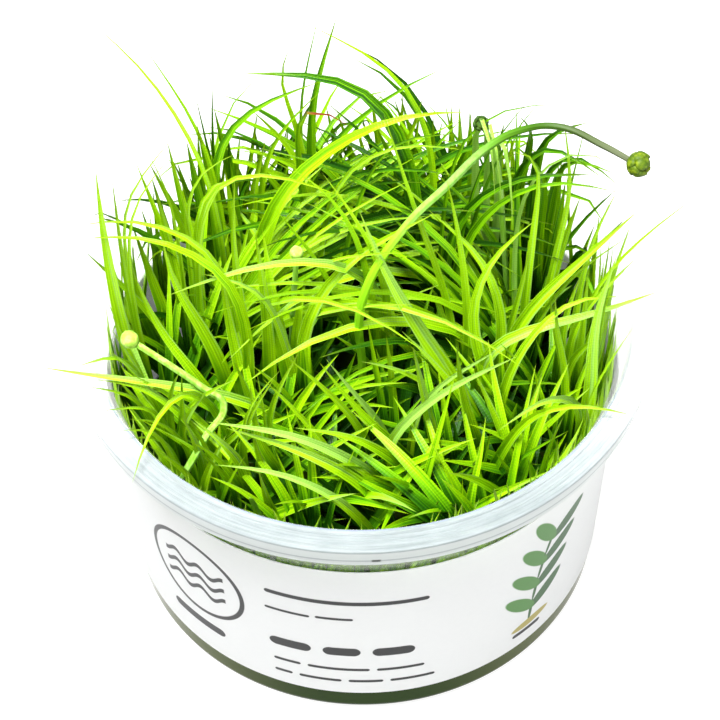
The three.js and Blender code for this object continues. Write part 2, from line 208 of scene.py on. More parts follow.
def turned(name, outline, sides, fill="NGON"):
    """A shape of revolution through each (radius, height) of the outline, in mm."""
    deselect()
    radius, height = outline[0]
    bpy.ops.mesh.primitive_circle_add(vertices=sides, radius=radius * MM, fill_type=fill,
                                      location=(0, 0, height * MM))
    piece = bpy.context.active_object
    piece.name = piece.data.name = name
    bpy.ops.object.transform_apply(location=True, rotation=False, scale=False)
    bpy.ops.object.mode_set(mode="EDIT")
    bpy.ops.mesh.select_all(action="SELECT")
    for (radius, height), (next_radius, next_height) in zip(outline, outline[1:]):
        rise = (0, 0, (next_height - height) * MM)
        bpy.ops.mesh.extrude_region_move(TRANSFORM_OT_translate={"value": rise})
        wider = next_radius / radius
        bpy.ops.transform.resize(value=(wider, wider, 1), center_override=(0, 0, 0))
    bpy.ops.mesh.select_all(action="SELECT")
    bpy.ops.mesh.normals_make_consistent(inside=False)
    bpy.ops.object.mode_set(mode="OBJECT")
    return piece


quarter = arc((0, 0), 1, 0, 90, 3)
print("a quarter circle in three steps:", [(round(x, 2), round(y, 2)) for x, y in quarter])

# %% [markdown]
# ## The clear cup
# It is moulded in one thin wall: a flat foot, a rounded heel, a side that tapers a little,
# a small step where a lid would seat, and a flat rim with its edge turned down. The real
# wall is 0.8 mm thick all over, so the outline runs up the outside, round the rim and back
# down the inside. Two shallow rings are pressed into the rim's flat.

# %% Model the cup
CUP_HEIGHT, WALL = 58, 0.8
RIM_RADIUS, MOUTH_RADIUS = 48.8, 45
NECK_RADIUS, FOOT_RADIUS, HEEL = 43.6, 42.3, 2.4
NECK_HEIGHT = 53
SKIRT_DEPTH, SKIRT_DRAFT, SEAT_STEP = 4.4, 0.5, 1.1
EDGE = 0.4  # radius of the rim's rounded edges
GROOVE_DEPTH = 0.12
GROOVES = [(47.9, 47.7, 47.4, 47.2), (46.2, 46.05, 45.85, 45.7)]  # radii of each groove's corners
CUP_SIDES, CUP_SMOOTHING = 180, 35
SKIRT_FOOT = CUP_HEIGHT - SKIRT_DEPTH
RIM_UNDER = CUP_HEIGHT - WALL
SKIRT_INSIDE = RIM_RADIUS - SKIRT_DRAFT - WALL


def wall_radius(z):
    """Outside radius of the cup's tapered side, in mm."""
    return FOOT_RADIUS + (NECK_RADIUS - FOOT_RADIUS) * (z - HEEL) / (NECK_HEIGHT - HEEL)


seat = [
    (NECK_RADIUS, NECK_HEIGHT),
    (NECK_RADIUS + 0.3, NECK_HEIGHT + 0.2),
    (NECK_RADIUS + SEAT_STEP - 0.2, SKIRT_FOOT + 0.3),
    (NECK_RADIUS + SEAT_STEP, SKIRT_FOOT + 0.7),
]
outside = [
    *arc((FOOT_RADIUS - HEEL, HEEL), HEEL, -90, 0, 7),
    *seat,
    (MOUTH_RADIUS, RIM_UNDER),
    (RIM_RADIUS - WALL, RIM_UNDER),
    (SKIRT_INSIDE, SKIRT_FOOT + 0.2),
    *arc((SKIRT_INSIDE + WALL / 2, SKIRT_FOOT + EDGE), EDGE, -180, 0, 6),
]
rim = [
    *arc((RIM_RADIUS - EDGE, CUP_HEIGHT - EDGE), EDGE, 0, 90, 4),
    *[(radius, CUP_HEIGHT - deep) for groove in GROOVES
      for radius, deep in zip(groove, (0, GROOVE_DEPTH, GROOVE_DEPTH, 0))],
    *arc((MOUTH_RADIUS, CUP_HEIGHT - WALL), WALL, 90, 180, 5),
]
inside = [
    *[(radius - WALL, height) for radius, height in reversed(seat)],
    *arc((FOOT_RADIUS - HEEL, HEEL), HEEL - WALL, 0, -90, 5),
]
cup = turned("clear_cup", outside + rim + inside, CUP_SIDES)
smooth_by_angle(cup, CUP_SMOOTHING)
say(cup)

# %% [markdown]
# ## The label
# A strip of white coated paper goes round the wall and leaves a bare window at the back.
# An open ring is raised along the wall's taper, the faces in the window are deleted, and
# Solidify gives the paper its thickness outwards.

# %% Model the label
LABEL_BOTTOM, LABEL_TOP = 6.4, 44.6
LABEL_THICKNESS, LABEL_GAP = 0.2, 0.05
LABEL_SIDES, LABEL_STEPS, LABEL_SMOOTHING = 240, 6, 35
WINDOW_HALF_ANGLE = 30

label_heights = np.linspace(LABEL_BOTTOM, LABEL_TOP, LABEL_STEPS + 1)
label = turned("wrap_label", [(wall_radius(z) + LABEL_GAP, z) for z in label_heights],
               LABEL_SIDES, fill="NOTHING")
bpy.ops.object.mode_set(mode="EDIT")
bpy.ops.mesh.select_all(action="DESELECT")
bpy.ops.mesh.select_mode(type="FACE")
bpy.ops.object.mode_set(mode="OBJECT")
for face in label.data.polygons:
    face.select = abs(math.degrees(math.atan2(face.center.x, face.center.y))) < WINDOW_HALF_ANGLE
bpy.ops.object.mode_set(mode="EDIT")
bpy.ops.mesh.delete(type="FACE")
bpy.ops.object.mode_set(mode="OBJECT")
apply_modifier(label, "SOLIDIFY", thickness=LABEL_THICKNESS * MM, offset=1)
smooth_by_angle(label, LABEL_SMOOTHING)
say(label)

# %% [markdown]
# ## The nutrient gel
# Agar gel fills the bottom of the cup and grips the roots. It is poured warm, so it climbs
# the wall a little as it sets and wets the plastic with no air between. The crowns have
# pushed its top up here and there. The outline runs up beside the wall and back to the
# middle in rings, and the rings of the top are then lifted by a smooth noise.

# %% Model the gel
GEL_TOP = 18
GEL_GRIP = 0.05  # how far the gel is sunk in the wall, which it wets
MENISCUS, MENISCUS_WIDTH, GEL_SAG = 0.7, 0.5, 0.9
GEL_SIDES, GEL_RINGS, GEL_SMOOTHING = 96, 14, 50
SWELL_RADIUS = 39  # the top is uneven as far out as this
SWELL_HEIGHT, SWELL_HALF, SWELL_WIDTH = 0.2, 0.6, 7


def gel_side(z):
    return wall_radius(z) - WALL + GEL_GRIP


gel_radius = gel_side(GEL_TOP)
gel = turned("nutrient_gel_set", [
    *arc((FOOT_RADIUS - HEEL, HEEL), HEEL - WALL + GEL_GRIP, -90, 0, 6),
    (gel_radius, GEL_TOP),
    (gel_radius - MENISCUS_WIDTH, GEL_TOP - MENISCUS),
    *[(gel_radius * (1 - step / GEL_RINGS), GEL_TOP - GEL_SAG) for step in range(1, GEL_RINGS)],
], GEL_SIDES)
for corner in gel.data.vertices:
    if corner.co.z > (GEL_TOP - 1) * MM and corner.co.xy.length < SWELL_RADIUS * MM:
        swell = SWELL_HEIGHT + SWELL_HALF * noise.noise(corner.co / (SWELL_WIDTH * MM))
        corner.co.z += swell * MM
smooth_by_angle(gel, GEL_SMOOTHING)
say(gel)

# %% [markdown]
# ## The path of a leaf
# A leaf bends evenly, so a few points are enough to say where it goes. A Catmull-Rom curve
# passes through all of them, and softening takes out what is left of the kinks. The curve
# is then cut into even steps, one for each ring of the blade.

# %% Smooth path
PATH_SAMPLES, PATH_SOFTENING = 60, 50


def smooth_path(points, count):
    """Evenly spaced positions along a softened curve through the points, and its length."""
    points = np.array(points, float)
    points = np.vstack([2 * points[0] - points[1], points, 2 * points[-1] - points[-2]])
    knots = np.concatenate([[0], np.cumsum(np.linalg.norm(np.diff(points, axis=0), axis=1) ** 0.5)])
    times = np.linspace(knots[1], knots[-2], PATH_SAMPLES)
    span = np.clip(np.searchsorted(knots, times, side="right") - 1, 1, len(points) - 3)

    def blend(low, high, first, last):
        share = ((times - knots[span + low]) / (knots[span + high] - knots[span + low]))[:, None]
        return first * (1 - share) + last * share

    p0, p1, p2, p3 = (points[span + step] for step in (-1, 0, 1, 2))
    a1, a2, a3 = blend(-1, 0, p0, p1), blend(0, 1, p1, p2), blend(1, 2, p2, p3)
    b1, b2 = blend(-1, 1, a1, a2), blend(0, 2, a2, a3)
    dense = blend(0, 1, b1, b2)
    for _ in range(PATH_SOFTENING):
        dense[1:-1] = (dense[:-2] + 2 * dense[1:-1] + dense[2:]) / 4
    run = np.concatenate([[0], np.cumsum(np.linalg.norm(np.diff(dense, axis=0), axis=1))])
    even = np.linspace(0, run[-1], count)
    return np.stack([np.interp(even, run, dense[:, axis]) for axis in range(3)], axis=1), run[-1]


arch, arch_length = smooth_path([(0, 0, 0), (10, 0, 30), (30, 0, 35)], 5)
print("an arch of", round(arch_length, 1), "mm in", len(arch) - 1, "even steps")

# %% [markdown]
# ## One leaf
# A leaf is a long thin blade with a fold along its middle, widest low down and drawn out to
# a fine tip. It is built as rings of four corners along its path: the two edges, the middle
# above and the middle below, so that it is closed and a little thicker along the midrib.
# There are more than a thousand leaves, so they are made from arrays, each of a few dozen
# faces. Each corner also carries how bright its leaf is, where it sits across the blade and
# how far up it is, which the material reads.

# %% Leaf blade
FACE = Vector((0, -0.6, 0.8))  # most blades turn their upper face this way
TAPER = 2.6
FOOT_WIDTH, FULL_FROM = 0.72, 0.2  # a blade's width at its foot, and where it is full, as shares
LEAF_THICKNESS, TIP_THINNING = 0.26, 0.6
FOLD = 0.2  # depth of the fold, as a share of the width
TWIST_CENTRE = 0.3
FLAT = 1e-6  # keeps a blade that points straight along its face from dividing by nothing


def leaf_blade(points, width, tone, rings, twist, face=FACE):
    """Corners, faces and the four values of each corner of one leaf, in mm."""
    middle, length = smooth_path(points, rings + 1)
    along = np.gradient(middle, axis=0)
    along /= np.linalg.norm(along, axis=1)[:, None]
    corners, values = [], []
    for ring in range(rings):
        share = ring / rings
        across = np.cross(along[ring], face)
        across /= max(np.linalg.norm(across), FLAT)
        behind = np.cross(along[ring], across)
        turn = twist * (share - TWIST_CENTRE)
        side = across * math.cos(turn) + behind * math.sin(turn)
        back = behind * math.cos(turn) - across * math.sin(turn)
        foot = FOOT_WIDTH + (1 - FOOT_WIDTH) * min(1, share / FULL_FROM)
        half = width / 2 * (1 - share ** TAPER) * foot
        fold, thick = 2 * half * FOLD, LEAF_THICKNESS * (1 - TIP_THINNING * share)
        for out, deep in ((-1, 0), (0, fold), (1, 0), (0, fold + thick)):
            corners.append(middle[ring] + side * half * out + back * deep)
            values.append((tone, out, share * length, share))
    corners.append(middle[rings])
    values.append((tone, 0, length, 1))
    faces = [(0, 1, 2, 3)]
    for ring in range(rings - 1):
        low = 4 * ring
        for corner in range(4):
            after = (corner + 1) % 4
            faces.append((low + corner, low + corner + 4, low + after + 4, low + after))
    last = 4 * (rings - 1)
    faces += [(last + corner, 4 * rings, last + (corner + 1) % 4) for corner in range(4)]
    return corners, faces, values


corners, faces, _ = leaf_blade([(0, 0, 0), (10, 0, 30), (30, 0, 35)], 2, 0.5, 10, 0)
print("a leaf of ten rings has", len(corners), "corners and", len(faces), "faces")

# %% [markdown]
# ## One plantlet
# All leaves of one crown are joined in one mesh, because they come out of the gel as one
# plant. The four values of the corners become attributes of that mesh.

# %% Mesh of blades
LEAF_VALUES = ("leaf_tone", "leaf_side", "leaf_run", "leaf_share")
LEAF_SMOOTHING = 28


def mesh_of_blades(name, blades):
    corners, faces, values = [], [], []
    for blade_corners, blade_faces, blade_values in blades:
        start = len(corners)
        corners += blade_corners
        faces += [tuple(start + index for index in face) for face in blade_faces]
        values += blade_values
    mesh = bpy.data.meshes.new(name)
    mesh.from_pydata((np.array(corners) * MM).tolist(), [], faces)
    values = np.array(values, np.float32)
    for column, value in enumerate(LEAF_VALUES):
        mesh.attributes.new(value, "FLOAT", "POINT").data.foreach_set("value", values[:, column])
    piece = bpy.data.objects.new(name, mesh)
    bpy.context.collection.objects.link(piece)
    smooth_by_angle(piece, LEAF_SMOOTHING)
    return piece


print("values of each corner:", ", ".join(LEAF_VALUES))

# %% [markdown]
# ## Crowns
# The leaves of one plant all rise from one crown at the top of the gel. The 28 crowns stand
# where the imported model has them.

# %% Crowns
CROWNS = [
    [-22, 21], [12, 18], [-5, 30], [-9, 14], [-35, 1], [-29, 11], [-19, -1],
    [-8, -2], [5, 5], [19, 2], [28, 10], [35, -1], [34, -12], [25, -8],
    [16, -17], [6, -13], [7, -26], [-6, -17], [-18, -14], [-31, -10], [-27, -23],
    [-8, -31], [22, -28], [9, 33], [22, 25], [30, 20], [-18, 32], [29, -20],
]
LEAF_START = 20.7  # height at which the leaves of a crown part
LEAF_OFFSET = 1.5  # how far from the crown's middle they do
print("crowns", len(CROWNS))

# %% [markdown]
# ## Leaves that can be told apart
# About two hundred leaves stand out from the thicket: the long thin tips at the back left, the arches at
# the back, the broad bright leaves in the middle and front. Their routes are listed in the same
# millimetres as the imported model's. Each line gives a tone from DARK to PALE, or BROWN for a leaf with a
# withered tip, the width, the place where the leaf starts, and the points that it passes through. It
# belongs to the crown that it starts nearest to.

# %% Listed leaves
# The tones hold each leaf's own green together with the painted light and shade on it, and PALE is a
# painted highlight, a whitish sheen.
DARK, DEEP, MID, LIT, LIME, PALE, BROWN = 0.04, 0.2, 0.4, 0.6, 0.8, 1.0, -1.0

LISTED_LEAVES = [
    # back left, thin tips above the rim
    [LIT, 1.0, [-21, 13], [-26, 22, 70], [-35, 30, 84], [-43, 34, 91]],
    [MID, 1.0, [-20, 19], [-26, 27, 70], [-35, 32, 88]],
    [DARK, 0.9, [-22, 24], [-25, 28, 60], [-27, 29, 80]],
    [DARK, 0.9, [-20, 22], [-25, 30, 62], [-24, 30, 82]],
    [DEEP, 2.2, [-23, 26], [-27, 27, 50], [-27, 27, 73]],
    [DEEP, 2.0, [-23, 25], [-25, 27, 64], [-19, 28, 76], [-6, 29, 82]],
    [DEEP, 1.3, [-28, 12], [-25, 14, 72], [-15, 11, 79], [-2, 7, 77]],
    [MID, 1.0, [-30, 12], [-27, 15, 74], [-19, 16, 79]],
    [DARK, 0.8, [-24, 9], [-29, 11, 76], [-31, 12, 84]],
    [DEEP, 0.9, [-34, 3], [-38, 4, 66], [-36, 7, 77], [-30, 11, 83]],
    # back, tall arching leaves
    [DARK, 3.0, [9, 20], [7, 25, 74], [-2, 26, 85], [-19, 28, 85]],
    [DEEP, 1.9, [-5, 30], [-8, 33, 70], [-3, 34, 92]],
    [DEEP, 0.8, [-7, 31], [-10, 35, 68], [-6, 37, 90]],
    [MID, 1.3, [13, 20], [12, 27, 72], [5, 29, 85], [-8, 33, 91]],
    [LIT, 1.5, [-4, 28], [-10, 31, 68], [-13, 32, 80], [-11, 32, 87]],
    [DEEP, 2.8, [-18, 13], [-15, 20, 62], [-3, 21, 76], [9, 21, 82], [18, 22, 81]],
    [LIT, 1.1, [-9, 15], [-4, 21, 66], [7, 20, 76], [19, 19, 75]],
    [DEEP, 0.8, [10, 16], [17, 19, 78], [25, 19, 85], [33, 18, 86]],
    [DARK, 0.8, [14, 15], [21, 17, 76], [28, 19, 87]],
    [BROWN, 1.5, [-6, 28], [-10, 25, 64], [-9, 22, 83], [-4, 20, 83], [-1, 20, 80]],
    [DARK, 2.4, [29, 22], [30, 24, 60], [31, 21, 76], [37, 15, 85]],
    [DEEP, 2.2, [31, 20], [33, 22, 60], [35, 17, 75], [42, 12, 76]],
    [DARK, 2.0, [24, 25], [27, 24, 64], [32, 18, 77], [40, 12, 75]],
    [DARK, 1.8, [28, 22], [31, 21, 66], [36, 17, 76], [43, 13, 72]],
    [DEEP, 2.0, [30, 19], [31, 20, 56], [31, 18, 70], [25, 17, 79]],
    [DEEP, 1.6, [26, 26], [28, 26, 60], [29, 22, 76], [26, 18, 84]],
    [PALE, 1.5, [24, 24], [20, 24, 64], [19.5, 20, 84], [21.5, 15, 82], [22.3, 12, 71]],
    [PALE, 1.3, [25, 24], [22, 24, 64], [21, 20, 83], [22.5, 15, 80], [23.4, 12, 70]],
    [PALE, 1.4, [25, 22], [24, 23, 62], [23, 18, 81], [24.5, 13, 78], [25.3, 10, 66]],
    [DEEP, 0.9, [0, 18], [5, 22, 74], [18, 21, 77]],
    [DARK, 0.8, [16, 14], [23, 17, 76], [30, 19, 87]],
    [LIT, 1.9, [-6, 28], [-8, 29, 56], [-13, 30, 68], [-18, 29, 76]],
    [MID, 1.3, [-16, 30], [-17, 30, 58], [-13, 30, 70], [-6, 31, 78]],
    [LIT, 1.5, [-28, 12], [-27, 15, 66], [-24, 17, 71], [-17, 18, 71]],
    [MID, 2.6, [-24, 22], [-25, 25, 50], [-26, 27, 67]],
    [LIT, 2.4, [-21, 22], [-22, 26, 48], [-23, 28, 63]],
    [DEEP, 2.8, [-27, 14], [-29, 19, 48], [-30, 22, 65]],
    [MID, 2.4, [-30, 14], [-32, 17, 50], [-34, 18, 68]],
    [LIT, 2.2, [-17, 30], [-19, 33, 50], [-16, 34, 64]],
    [MID, 2.4, [-8, 30], [-12, 33, 48], [-19, 34, 60]],
    [DEEP, 2.4, [10, 33], [8, 35, 50], [3, 35, 66]],
    [MID, 2.4, [22, 26], [24, 29, 50], [25, 30, 66]],
    [DEEP, 2.4, [31, 18], [34, 20, 50], [35, 21, 66]],
    [MID, 2.2, [29, 12], [34, 15, 52], [37, 16, 67]],
    [MID, 2.4, [20, 27], [20, 30, 54], [19, 31, 73]],
    [DEEP, 2.4, [22, 28], [23, 31, 54], [25, 30, 71]],
    [MID, 2.2, [12, 33], [13, 35, 54], [13, 34, 69]],
    [LIT, 2.2, [9, 34], [7, 36, 54], [11, 35, 69]],
    [DEEP, 2.2, [17, 27], [17, 30, 58], [22, 27, 75]],
    [MID, 2.2, [32, 21], [34, 23, 54], [34, 21, 71]],
    [DARK, 2.2, [27, 26], [28, 28, 54], [29, 27, 72]],
    [DEEP, 2.8, [-24, 23], [-27, 26, 50], [-29, 27, 71]],
    [MID, 2.4, [-22, 24], [-25, 27, 54], [-27, 27, 75]],
    [DEEP, 2.2, [-20, 24], [-22, 28, 56], [-24, 28, 78]],
    [DARK, 2.2, [-21, 25], [-22, 28, 54], [-22, 28, 72]],
    [MID, 2.0, [-27, 20], [-30, 24, 54], [-32, 25, 73]],
    [LIT, 2.0, [-26, 22], [-30, 24, 50], [-35, 21, 72]],
    [DEEP, 1.8, [-28, 14], [-33, 18, 54], [-37, 20, 73]],
    [MID, 2.4, [-31, 13], [-36, 17, 44], [-38, 17, 58]],
    [MID, 2.4, [-33, 10], [-38, 13, 42], [-39, 13, 56]],
    [DEEP, 2.4, [-34, 3], [-40, 8, 42], [-40, 9, 55]],
    # left, against the wall and over the rim
    [MID, 2.4, [-37, -1], [-40, 0, 54], [-41, 2, 78], [-41, 4, 88]],
    [DEEP, 1.2, [-35, 1], [-39, 5, 60], [-39, 6, 84]],
    [DARK, 0.8, [-36, 2], [-39, 8, 66], [-37, 9, 77], [-29, 13, 86]],
    [DARK, 0.8, [-27, 10], [-31, 11, 74], [-34, 12, 84]],
    [DEEP, 1.9, [-15, -3], [-21, -2, 68], [-33, 0, 76], [-44, 2, 74]],
    [MID, 1.6, [-17, 0], [-24, 3, 69], [-36, 4, 76], [-45, 4, 75]],
    [MID, 1.3, [-29, 5], [-26, 8, 70], [-21, 9, 81]],
    [LIT, 1.6, [-18, 4], [-20, 6, 48], [-21, 8, 64], [-20, 10, 79]],
    [LIT, 2.6, [-17, -2], [-25, 0, 48], [-31, 2, 64], [-32, 4, 72]],
    [MID, 1.9, [-19, -3], [-27, -3, 42], [-34, 0, 54], [-37, 1, 67]],
    [LIME, 1.9, [8, 8], [3, 7, 56], [-8, 2, 68], [-20, -1, 69], [-32, -2, 64]],
    [LIME, 1.7, [-9, -1], [-13, 1, 48], [-17, 1, 62], [-26, 2, 65]],
    [LIME, 1.9, [-7, -5], [-17, -10, 45], [-31, -14, 56], [-43, -15, 60], [-52, -13, 60]],
    [LIT, 1.5, [-16, -8], [-25, -14, 52], [-30, -21, 62], [-34, -30, 62], [-36, -35, 58]],
    [DEEP, 1.4, [-34, -8], [-39, -8, 56], [-46, -14, 61]],
    [DEEP, 1.2, [-33, -14], [-37, -15, 54], [-44, -18, 61]],
    [DARK, 1.2, [-30, -20], [-33, -23, 55], [-38, -27, 61]],
    [DEEP, 1.3, [-30, -12], [-34, -18, 55], [-41, -23, 61]],
    # front left, a tangle over the wall
    [LIT, 2.0, [-30, -11], [-34, -11, 48], [-38, -12, 55], [-41, -14, 58]],
    [LIME, 1.8, [-31, -9], [-36, -9, 50], [-41, -9, 59]],
    [LIT, 1.6, [-31, -12], [-36, -13, 48], [-40, -13, 57]],
    [MID, 1.8, [-30, -13], [-35, -17, 46], [-38, -18, 57]],
    [LIT, 1.5, [-30, -14], [-34, -19, 46], [-37, -21, 57]],
    [LIME, 1.4, [-31, -8], [-37, -6, 48], [-41, -5, 60]],
    [LIT, 2.0, [-34, -3], [-38, -3, 46], [-41, -2, 60]],
    [MID, 2.0, [-35, -1], [-39, 1, 46], [-42, 2, 58]],
    [LIT, 1.8, [-35, 0], [-40, 3, 48], [-42, 5, 62]],
    [LIME, 1.5, [-34, 2], [-40, 6, 46], [-42, 8, 60]],
    [LIT, 2.2, [-29, -12], [-33, -13, 42], [-37, -11, 50], [-40, -8, 55]],
    [LIT, 1.9, [-27, -21], [-31, -22, 42], [-35, -21, 52], [-38, -18, 56]],
    [LIME, 1.6, [-28, -22], [-32, -24, 44], [-36, -24, 55]],
    [LIT, 1.8, [-26, -25], [-29, -28, 42], [-33, -29, 54]],
    [LIME, 1.7, [-17, -15], [-24, -15, 42], [-32, -14, 51], [-36, -14, 57], [-41, -14, 58]],
    [LIT, 1.6, [-17, -16], [-25, -15, 44], [-32, -14, 54], [-37, -15, 60]],
    [MID, 1.6, [-18, -17], [-28, -15, 46], [-36, -15, 57], [-43, -15, 59]],
    [LIT, 1.1, [-25, -21], [-32, -21, 50], [-37, -27, 59]],
    [LIT, 1.0, [-24, -20], [-29, -18, 44], [-33, -20, 54], [-37, -24, 60]],
    [LIT, 1.5, [-25, -24], [-28, -25, 45], [-34, -27, 57]],
    [LIME, 2.2, [-25, -20], [-26.5, -20, 37], [-27, -21, 48], [-29, -21, 57]],
    [LIT, 1.4, [-29, -11], [-30, -14, 48], [-24, -15, 56], [-20, -17, 61]],
    [LIT, 1.5, [-31, -12], [-32, -14, 46], [-31, -15, 56], [-29, -17, 63]],
    [MID, 1.5, [-30, -12], [-30, -15, 44], [-29, -15, 60]],
    [LIME, 1.8, [-29, -11], [-30, -15, 46], [-25, -16, 57]],
    [LIT, 1.4, [-25, -21], [-25, -20, 42], [-28, -20, 55]],
    [LIME, 2.3, [-19, -17], [-19, -21, 32], [-20, -22, 45], [-24, -23, 54], [-27, -22, 57]],
    [LIME, 1.7, [-27, -21], [-27, -22, 38], [-24, -22, 48], [-22, -22, 53]],
    [LIT, 2.1, [-15, -16], [-13, -20, 32], [-16, -23, 42], [-18, -23, 56]],
    [LIT, 1.5, [-20, -16], [-20, -19, 42], [-19, -19, 52], [-14, -17, 61]],
    [MID, 2.0, [-15, -15], [-14, -19, 38], [-17, -19, 46], [-18, -17, 60]],
    [LIT, 1.6, [-22, -20], [-21, -23, 36], [-24, -24, 47], [-26, -25, 52]],
    [LIME, 1.2, [-24, -22], [-24, -23, 38], [-25, -26, 48]],
    [PALE, 1.4, [-10, -30], [-16, -30, 36], [-18, -31, 47], [-18, -37, 56]],
    [LIME, 2.3, [-10, -29], [-14, -26, 30], [-16, -28, 44], [-17, -27, 50]],
    [MID, 1.7, [-17, -16], [-20, -22, 38], [-25, -23, 50], [-28, -24, 54]],
    [LIT, 1.7, [-9, -30], [-13, -29, 36], [-20, -28, 46], [-25, -28, 50]],
    [MID, 2.0, [-19, -3], [-18, -8, 36], [-19, -9, 46], [-21, -9, 56]],
    [MID, 2.6, [-10, 0], [-11, 2, 34], [-11, 3, 50], [-9, 6, 60]],
    # middle
    [LIT, 2.2, [-13, 0], [-10, 2, 50], [-2, 5, 64], [12, 5, 75]],
    [MID, 2.4, [-15, -1], [-16, 1, 38], [-16, 3, 56], [-17, 5, 72]],
    [MID, 2.3, [-18, -4], [-20, -3, 38], [-22, 0, 54], [-23, 2, 68]],
    [LIT, 1.5, [9, 1], [4, 4, 60], [-1, 6, 74], [-6, 10, 80]],
    [MID, 1.5, [7, 3], [0, 5, 68], [-5, 9, 76], [-11, 12, 79]],
    [MID, 1.3, [19, 5], [15, 7, 50], [9, 8, 73], [4, 12, 91]],
    [LIME, 2.8, [21, -4], [16, -2, 40], [8, 0, 56], [3, 2, 68], [0, 5, 76]],
    [MID, 1.3, [1, 5], [-6, 8, 58], [-14, 10, 72]],
    [LIT, 1.7, [7, -8], [5, -5, 44], [4, -4, 56]],
    [MID, 1.7, [19, 1], [18, 3, 52], [16, 6, 70], [14, 8, 80]],
    [LIT, 2.0, [25, 0], [24, 2, 50], [20, 5, 64], [11, 7, 74]],
    # right
    [DARK, 2.0, [12, 15], [17, 17, 62], [27, 14, 74], [39, 12, 76]],
    [DEEP, 1.6, [14, 14], [20, 14, 64], [31, 11, 76], [42, 9, 75]],
    [LIT, 1.6, [27, 5], [28, 7, 54], [29, 10, 70], [29, 12, 81], [24, 11, 83]],
    [MID, 1.3, [28, 7], [33, 11, 58], [35, 14, 71], [33, 17, 85]],
    [MID, 1.4, [34, 3], [37, 6, 56], [39, 7, 69], [42, 9, 76]],
    [LIT, 2.3, [19, -1], [27, 2, 52], [36, 3, 65], [45, 5, 75]],
    [DEEP, 0.8, [32, 0], [38, 2, 57], [46, 3, 71], [54, 5, 78]],
    [MID, 1.6, [31, -2], [36, 0, 53], [45, 2, 67]],
    [LIME, 2.2, [13, -4], [22, -4, 53], [38, -4, 60], [49, -1, 62]],
    [MID, 1.7, [24, -8], [23, -8, 42], [27, -7, 57], [34, -5, 65], [43, -3, 63]],
    [LIT, 2.2, [25, -5], [22, -4, 40], [18, -1, 57], [22, 1, 70], [28, 3, 75]],
    [MID, 1.5, [23, 3], [26, 4, 52], [28, 5, 67]],
    [LIT, 1.6, [34, -9], [38, -8, 46], [39, -6, 58], [40, -3, 68]],
    [DEEP, 0.7, [35, -13], [38, -13, 52], [44, -9, 63]],
    [LIT, 1.5, [35, -7], [34, -7, 48], [32, -6, 58], [31, -6, 68]],
    [MID, 1.7, [19, -14], [27, -20, 54], [35, -23, 60], [42, -25, 60]],
    [LIME, 1.8, [35, -10], [36, -14, 48], [29, -20, 58], [21, -27, 59]],
    [MID, 1.0, [26, 1], [34, 3, 60], [44, 5, 69]],
    [LIT, 1.2, [33, -8], [36, -8, 46], [41, -4, 60]],
    [DARK, 0.8, [33, 11], [35, 15, 70], [37, 17, 84]],
    [PALE, 0.9, [22, 14], [28, 15, 72], [37, 14, 80], [42, 12, 77]],
    [LIME, 2.0, [26, -5], [28, -9, 36], [30, -7, 50]],
    [LIME, 2.5, [36, -11], [38, -10, 44], [38, -6, 60], [41, -2, 72]],
    [LIT, 1.8, [36, -2], [35, -2, 40], [32, -1, 54], [31, -1, 61]],
    [LIT, 2.0, [33, -3], [35, -3, 46], [40, -6, 58]],
    [MID, 1.6, [36, 1], [37, -1, 54], [37, 0, 67]],
    [LIT, 2.2, [32, 1], [34, 0, 54], [36, 1, 64]],
    [LIME, 1.4, [37, -2], [40, -3, 50], [41, -2, 66]],
    [LIT, 1.6, [36, 2], [40, 2, 48], [42, 3, 64], [44, 5, 72]],
    [LIME, 1.6, [37, -6], [40.5, -7, 46], [41, -8, 60]],
    [LIT, 1.4, [36, -13], [39, -14, 44], [39, -15, 58]],
    [MID, 1.4, [31, -19], [35, -21, 42], [36, -20, 56]],
    [LIT, 1.8, [30, -21], [31, -24, 40], [31, -24, 53]],
    # front
    [LIME, 2.0, [16, -16], [12, -15, 40], [8, -15, 66]],
    [LIT, 1.9, [15, -17], [9, -18, 34], [-1, -21, 50], [-11, -24, 57]],
    [LIME, 2.2, [8, -24], [2, -24, 38], [-10, -25, 52], [-22, -23, 56]],
    [LIT, 2.4, [17, -18], [8, -21, 32], [-4, -23, 45], [-12, -22, 52]],
    [MID, 1.7, [16, -15], [10, -15, 32], [-1, -15, 50], [-7, -13, 60]],
    [LIT, 1.9, [23, -14], [19, -14, 40], [16, -13, 54], [15, -14, 65]],
    [MID, 1.6, [17, -17], [19, -18, 32], [21, -17, 46]],
    [PALE, 1.7, [5, -14], [4, -16, 42], [13, -15, 54], [25, -15, 63]],
    [PALE, 2.0, [7, -16], [1, -22, 42], [-11, -24, 55], [-25, -24, 59]],
    [PALE, 1.6, [4, -28], [-4, -29, 44], [-14, -29, 52], [-24, -28, 53]],
    [LIT, 1.6, [2, -20], [-5, -19, 42], [-10, -18, 52], [-16, -17, 61]],
    [LIT, 1.5, [8, -14], [-1, -15, 46], [-7, -16, 58], [-12, -16, 65]],
    [LIT, 1.5, [-17, -14], [-15, -16, 52], [-10, -15, 65]],
    [PALE, 1.2, [5, -10], [10, -12, 48], [23, -12, 62]],
    [LIT, 1.2, [16, -18], [17, -17, 28], [16, -16, 37]],
    [PALE, 1.4, [10, -12], [4, -13, 40], [-2, -14, 54], [-6, -13, 61]],
    [LIT, 0.8, [-14, -15], [-16, -17, 48], [-17, -15, 61]],
    [MID, 0.9, [-20, -19], [-20, -19, 46], [-18, -19, 57], [-13, -17, 63]],
    [MID, 2.8, [-12, -1], [-13, 1, 42], [-15, 5, 58], [-16, 9, 68]],
    [MID, 2.6, [-8, -1], [-10, 0, 40], [-9, 3, 52], [-3, 7, 60]],
    [MID, 2.6, [21, -28], [14, -27, 37], [6, -20, 44], [-2, -12, 46]],
